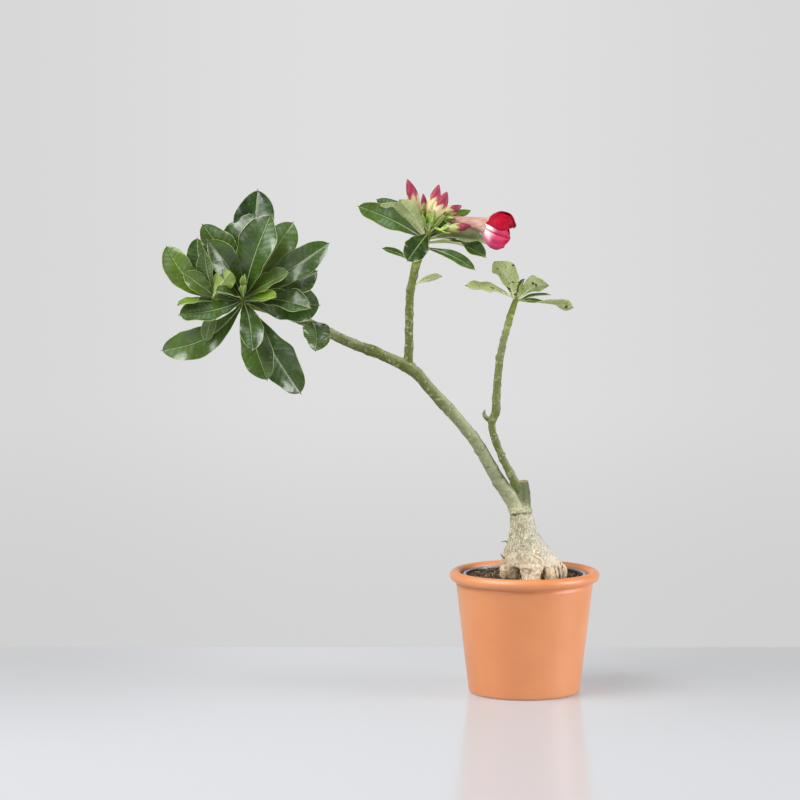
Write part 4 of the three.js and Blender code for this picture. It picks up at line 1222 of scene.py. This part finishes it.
# How far past the throat and how far out the funnel's skin lies
FUNNEL = np.array([
    (-34, 2.2), (-26, 3.6), (-14, 5.2), (-4, 6.7), (0, 7.8), (3, 12), (8, 15.8), (14, 16.6), (20, 15.2),
    (24, 13),
])
# Direction of each lobe's middle in degrees, how crimson it is and how far it reaches
LOBES = [(4, 0.25, 0.88), (76, 0.1, 0.9), (148, 0.6, 1), (220, 1, 1), (292, 0, 1)]
CREASED_LOBE = 4
tube_axes = axes_along(FLOWER_THROAT - FLOWER_BASE)
cup_axes = axes_along(FLOWER_FRONT - FLOWER_THROAT)


def funnel_skin(a, depth):
    """How far along and how far out the funnel's skin is, depth below its outer face."""
    radius = eased(a, FUNNEL)
    slope = np.arctan2(eased(a + 0.3, FUNNEL) - eased(a - 0.3, FUNNEL), 0.6)
    return a + depth * np.sin(slope), radius - depth * np.cos(slope)


def on_flower(axes, a, out, angle):
    """Points by how far past the throat and how far out they lie, and in which direction."""
    along, across, up = axes
    spoke = np.cos(angle)[..., None] * across + np.sin(angle)[..., None] * up
    return FLOWER_THROAT + a[..., None] * along + out[..., None] * spoke


flower_angles = np.arange(FUNNEL_SIDES) * FULL_TURN / FUNNEL_SIDES
flower_rings = []
for a, depth, axes in [
    *[(a, 0, tube_axes) for a in np.linspace(-34, -3, 14)], (0.4, 0, cup_axes), (1.6, 0, cup_axes),
    (1.6, PETAL_THICKNESS, cup_axes), (0.4, PETAL_THICKNESS, cup_axes),
    *[(a, PETAL_THICKNESS, tube_axes) for a in np.linspace(-3, -20, 8)],
]:
    where, out = funnel_skin(np.full(FUNNEL_SIDES, float(a)), depth)
    flower_rings.append(on_flower(axes, where, out * (1 + 0.03 * np.cos(5 * flower_angles)), flower_angles))
bodies = [loft(flower_rings)]
u, v = np.meshgrid(np.linspace(0, 1, 24), np.linspace(-1, 1, 23), indexing="ij")
tip_round = np.sqrt(np.clip(1 - np.clip((u - 0.6) / 0.4, 0, 1) ** 2.6, 0.002, 1))
half_angle = np.radians(37 + 8 * np.sin(np.pi * u) ** 0.8) * tip_round
for number, (middle, _, reach) in enumerate(LOBES):
    angle = math.radians(middle) + v * half_angle
    ruffle = (0.6 * np.sin(3.1 * np.pi * v + 1.7 * number) + 0.3 * v) * smoothstep(u, 0.2, 0.8)
    if number == CREASED_LOBE:
        ruffle -= 1.1 * hump(v + 0.3 - 0.1 * u, 0.09) * smoothstep(u, 0, 0.2)
    ruffle += 0.8 * v * smoothstep(u, 0.05, 0.4) - 3 * smoothstep(u, 0.62, 1) ** 2 - 0.15
    scallop = 1 + 0.05 * np.sin(7 * v + 2 * number) * smoothstep(u, 0.5, 1)
    skins = [funnel_skin(u * reach * LOBE_REACH * scallop, depth) for depth in (0, LOBE_THICKNESS)]
    bodies.append(sheet(*[on_flower(cup_axes, where, out + ruffle, angle) for where, out in skins]))
open_flower = shape("opened_flower", gathered(bodies))
tube_count, lobe_count = (len(points) for points, _ in bodies[:2])
lobe_crimson = np.repeat([crimson for _, crimson, _ in LOBES], lobe_count)
mark(open_flower.data, {
    "share": np.concatenate([np.full(tube_count, -1), np.tile(u.ravel(), 2 * len(LOBES))]),
    "side": np.concatenate([np.zeros(tube_count), np.tile(v.ravel(), 2 * len(LOBES))]),
    "crimson": np.concatenate([np.zeros(tube_count), lobe_crimson]),
})

petal = Finish("petal")
petal_share, petal_side, petal_deep = petal.trait("share"), petal.trait("side"), petal.trait("crimson")
petal_cloud = petal.cloud(200, 3, 0.6)
petal_veins = petal.cloud(420, 2, 0.5, petal.stretched((0.25, 1, 1)))
# Painted shade: a dark line along the fold of the creased lobe.
painted_crease_shade = abs(petal_side + 0.3 - petal_share * 0.1).rise(0.09, 0.02) * (1 - petal_deep.rise(0, 0.08))
lobe_tone = layered(
    abs(petal_side + 0.35).rise(1, 0.35).mix("e0688c", "f6dfe2"),
    ((petal_share + petal_cloud * 0.3).rise(0.35, 0.7), "d8446f"),
    ((abs(petal_side) * petal_share.rise(0.15, 0.6)).rise(0.5, 1), "c42a56"),
    ((petal_share + petal_cloud * 0.2).rise(0.8, 1), "c93258"),
    (painted_crease_shade * 0.85, "a8163c"),
    (petal_deep, petal_cloud.rise(0.35, 0.7).mix("94031d", "b4062c")),
)
tube_tone = petal_veins.rise(0.35, 0.7).mix("b38878", "cba69a")
fit(open_flower, petal.surface(
    Base_Color=petal_share.rise(-0.5, 0).mix(tube_tone, lobe_tone),
    Roughness=0.55 + petal_cloud * 0.15,
    Normal=petal.bump(petal_veins + petal_cloud, 0.0005, 0.45),
    Specular_IOR_Level=0.12,
    Subsurface_Weight=0.1,
    Subsurface_Radius=(0.003, 0.001, 0.001),
), "petal", "open_flower")


# Flower heart
# Five cream anthers lean together into a cone in the throat, each drawn out into a thin
# twisted tail. They are joined to the inside of the tube.

anthers = []
reach = np.linspace(-13, 8, 16)
out = np.interp(reach, [-13, -6, 0, 8], [3.6, 2.6, 1.5, 0.6])
radii = np.interp(reach, [-13, -7, 0, 8], [0.8, 1.1, 0.7, 0.25])
for number in range(PETALS):
    turn = number * FULL_TURN / PETALS + 0.09 * (reach + 13)
    anthers.append(tube(on_flower(tube_axes, reach, out, turn), radii, 10))
flower_heart = shape("anther_cone", gathered(anthers))
cream = Finish("anther_cream")
cream_cloud = cream.cloud(500, 3)
fit(flower_heart, cream.surface(
    Base_Color=cream_cloud.rise(0.35, 0.65).mix("e8d9a0", "f3ead0"),
    Roughness=0.7,
    Normal=cream.bump(cream_cloud, 0.0003, 0.6),
), "anther", "flower_heart")


# Flower stalks
# One short fleshy stalk branches to each bud and to the flower, and ends in a calyx of
# five narrow sepals. It grows on from the tip of the middle shoot.

SEPAL_THICKNESS = 0.6
SEPAL_HALF_WIDTH = 1.45
FLOWER_FOOT_RADIUS = 5.2
shoot_below, shoot_tip = (np.array(station[:3], float) for station in UPRIGHT[-2:])
shoot_way = unit(shoot_tip - shoot_below)
knot = shoot_tip + 3.55 * shoot_way
stalk_bodies = [tube(np.linspace(shoot_tip + 0.4 * shoot_way, knot, 5), np.full(5, 2.4), 16)]
sepal_bodies = []
u, v = np.meshgrid(np.linspace(0, 1, 10), np.linspace(-1, 1, 7), indexing="ij")
sepal_half = SEPAL_HALF_WIDTH * np.sqrt(np.clip(1 - u ** 1.6, 0.01, 1))
sepal_bow = 0.9 * np.sin(np.pi * u) - 0.45 * v ** 2
for base, top, radius in [*BUDS, (FLOWER_BASE, FLOWER_THROAT, FLOWER_FOOT_RADIUS)]:
    along, across, up = axes_along(np.subtract(top, base))
    foot_of_bud = np.array(base) - 0.5 * along
    stations = [(*knot, 1.4), (*(foot_of_bud - 2.2 * along), 1.25), (*foot_of_bud, 0.42 * radius + 0.9)]
    stalk_bodies.append(twig(stations, 8, 14))
    for i in range(PETALS):
        a = (i + 0.5) * FULL_TURN / PETALS
        out = math.cos(a) * across + math.sin(a) * up
        root = foot_of_bud + (0.42 * radius + 0.3) * out - 0.9 * along
        way = (4.4 + radius) * along + (0.6 * radius + 0.5) * out
        middle = root + u[..., None] * way + (v * sepal_half)[..., None] * unit(np.cross(way, out))
        middle += sepal_bow[..., None] * out
        sepal_bodies.append(sheet(middle + SEPAL_THICKNESS / 2 * out, middle - SEPAL_THICKNESS / 2 * out))
stalks = shape("stalks_and_calyces", gathered([*stalk_bodies, *sepal_bodies]))
stalk_points = sum(len(points) for points, _ in stalk_bodies)
mark(stalks.data, {
    "along": np.concatenate([np.zeros(stalk_points), np.tile(u.ravel(), 2 * len(sepal_bodies))]),
})
sepal = Finish("green_sepal")
sepal_cloud = sepal.cloud(260, 3, 0.6)
sepal_tone = sepal_cloud.rise(0.3, 0.7).mix("87a63a", "b9cb62")
fit(stalks, sepal.surface(
    Base_Color=layered(sepal_tone, (sepal.trait("along").rise(0.7, 1), "a8785a")),
    Roughness=0.5 + sepal_cloud * 0.15,
    Normal=sepal.bump(sepal_cloud, 0.0003, 0.5),
), "sepal", "flower_stalks")


# Studio
# A pale glossy table in front of a bright glowing ground, large soft lights, and the camera
# where the photographer's stood. The table is painted darker towards the back and the sides
# and glows faintly to lift its shadows; the ground's glow is painted dimmer near the table
# and towards the sides.

# Where the table ends behind the pot, in metres
TABLE_BACK = 0.229
# How far the stage reaches and how high its floor lies, in millimetres
STAGE_REACH = 16000
STAGE_FLOOR = -0.1
SOFTBOXES = [
    ("left_softbox", (-1.9, -1.5, 2.2), (-0.1, 0, 0.2), (2.4, 2.2), 100),
    ("right_softbox", (2.2, -0.6, 0.6), (0, 0, 0.1), (1.3, 1.5), 56),
    ("top_softbox", (-0.8, -0.3, 1.5), (-0.1, 0, 0.2), (0.9, 0.9), 12),
]
AIR_GLOW = 0.08
CAMERA_PLACE = (-0.108, -3.092, 0.562)
CAMERA_PITCH = 84.32
CAMERA_LENS = 162
CAMERA_SENSOR = 36
CAMERA_SIGHT = 40
backdrop = shape("backdrop", ([
    *[(x, y, STAGE_FLOOR) for y in (-STAGE_REACH, STAGE_REACH) for x in (-STAGE_REACH, STAGE_REACH)],
    *[(x, STAGE_REACH, z) for z in (STAGE_FLOOR, STAGE_REACH / 2) for x in (-STAGE_REACH, STAGE_REACH)],
], [(0, 1, 3, 2), (4, 5, 7, 6)]))
paper = Finish("pale_table")
paper_x, paper_y = paper.along("X"), paper.along("Y")
paper_back = paper_y.rise(TABLE_BACK - 0.002, TABLE_BACK + 0.002)
paper_far = ((paper_x ** 2 + paper_y ** 2) ** 0.5).rise(0.6, 1.5)
paper_glow = paper_back + paper_far - paper_back * paper_far
# Painted shade: a share that grows with the angle from the camera's line, towards the sides.
painted_side_shade = abs((paper_x + 0.1) / (paper_y + 3.1)).rise(0.02, 0.11)
# The ground's glow, with painted shade: dimmer near the table and towards the sides.
ground_glow_and_painted_shade = layered(
    paper_y.rise(0.2, 2.6).mix((0.655, 0.655, 0.655), (0.735, 0.735, 0.735)),
    (painted_side_shade * 0.35, (0.6, 0.6, 0.6)),
)
# The table's own pale grey, with painted shade darker towards the back and the sides.
table_tone_and_painted_shade = (paper_y.rise(-0.3, 0.2) * (0.1 + painted_side_shade * 0.8)).mix("a6a8ac", "898a8d")
backdrop.data.materials.append(paper.surface(
    Base_Color=paper_glow.mix(table_tone_and_painted_shade, (0, 0, 0)),
    Roughness=0.9,
    Specular_IOR_Level=0,
    Coat_Weight=0.8 - paper_glow * 0.8,
    Coat_Roughness=0.14,
    Coat_IOR=1.3,
    # The table glows faintly: painted fill light that lifts its shadows.
    Emission_Color=paper_glow.mix((0.25, 0.253, 0.26), ground_glow_and_painted_shade),
    Emission_Strength=1,
))

world = bpy.data.worlds.new("studio_air")
world.use_nodes = True
air = world.node_tree.nodes["Background"].inputs
air["Color"].default_value = (1, 1, 1, 1)
air["Strength"].default_value = AIR_GLOW
scene.world = world

for name, place, towards, size, power in SOFTBOXES:
    light = bpy.data.lights.new(name, "AREA")
    light.shape = "RECTANGLE"
    light.size, light.size_y = size
    light.energy = power
    lamp = placed(name, light)
    lamp.location = place
    lamp.rotation_euler = (Vector(towards) - Vector(place)).to_track_quat("-Z", "Y").to_euler()

camera = placed("camera", bpy.data.cameras.new("camera"))
camera.data.lens = CAMERA_LENS
camera.data.sensor_width = CAMERA_SENSOR
camera.data.clip_end = CAMERA_SIGHT
camera.location = CAMERA_PLACE
camera.rotation_euler = (math.radians(CAMERA_PITCH), 0, 0)
scene.camera = camera
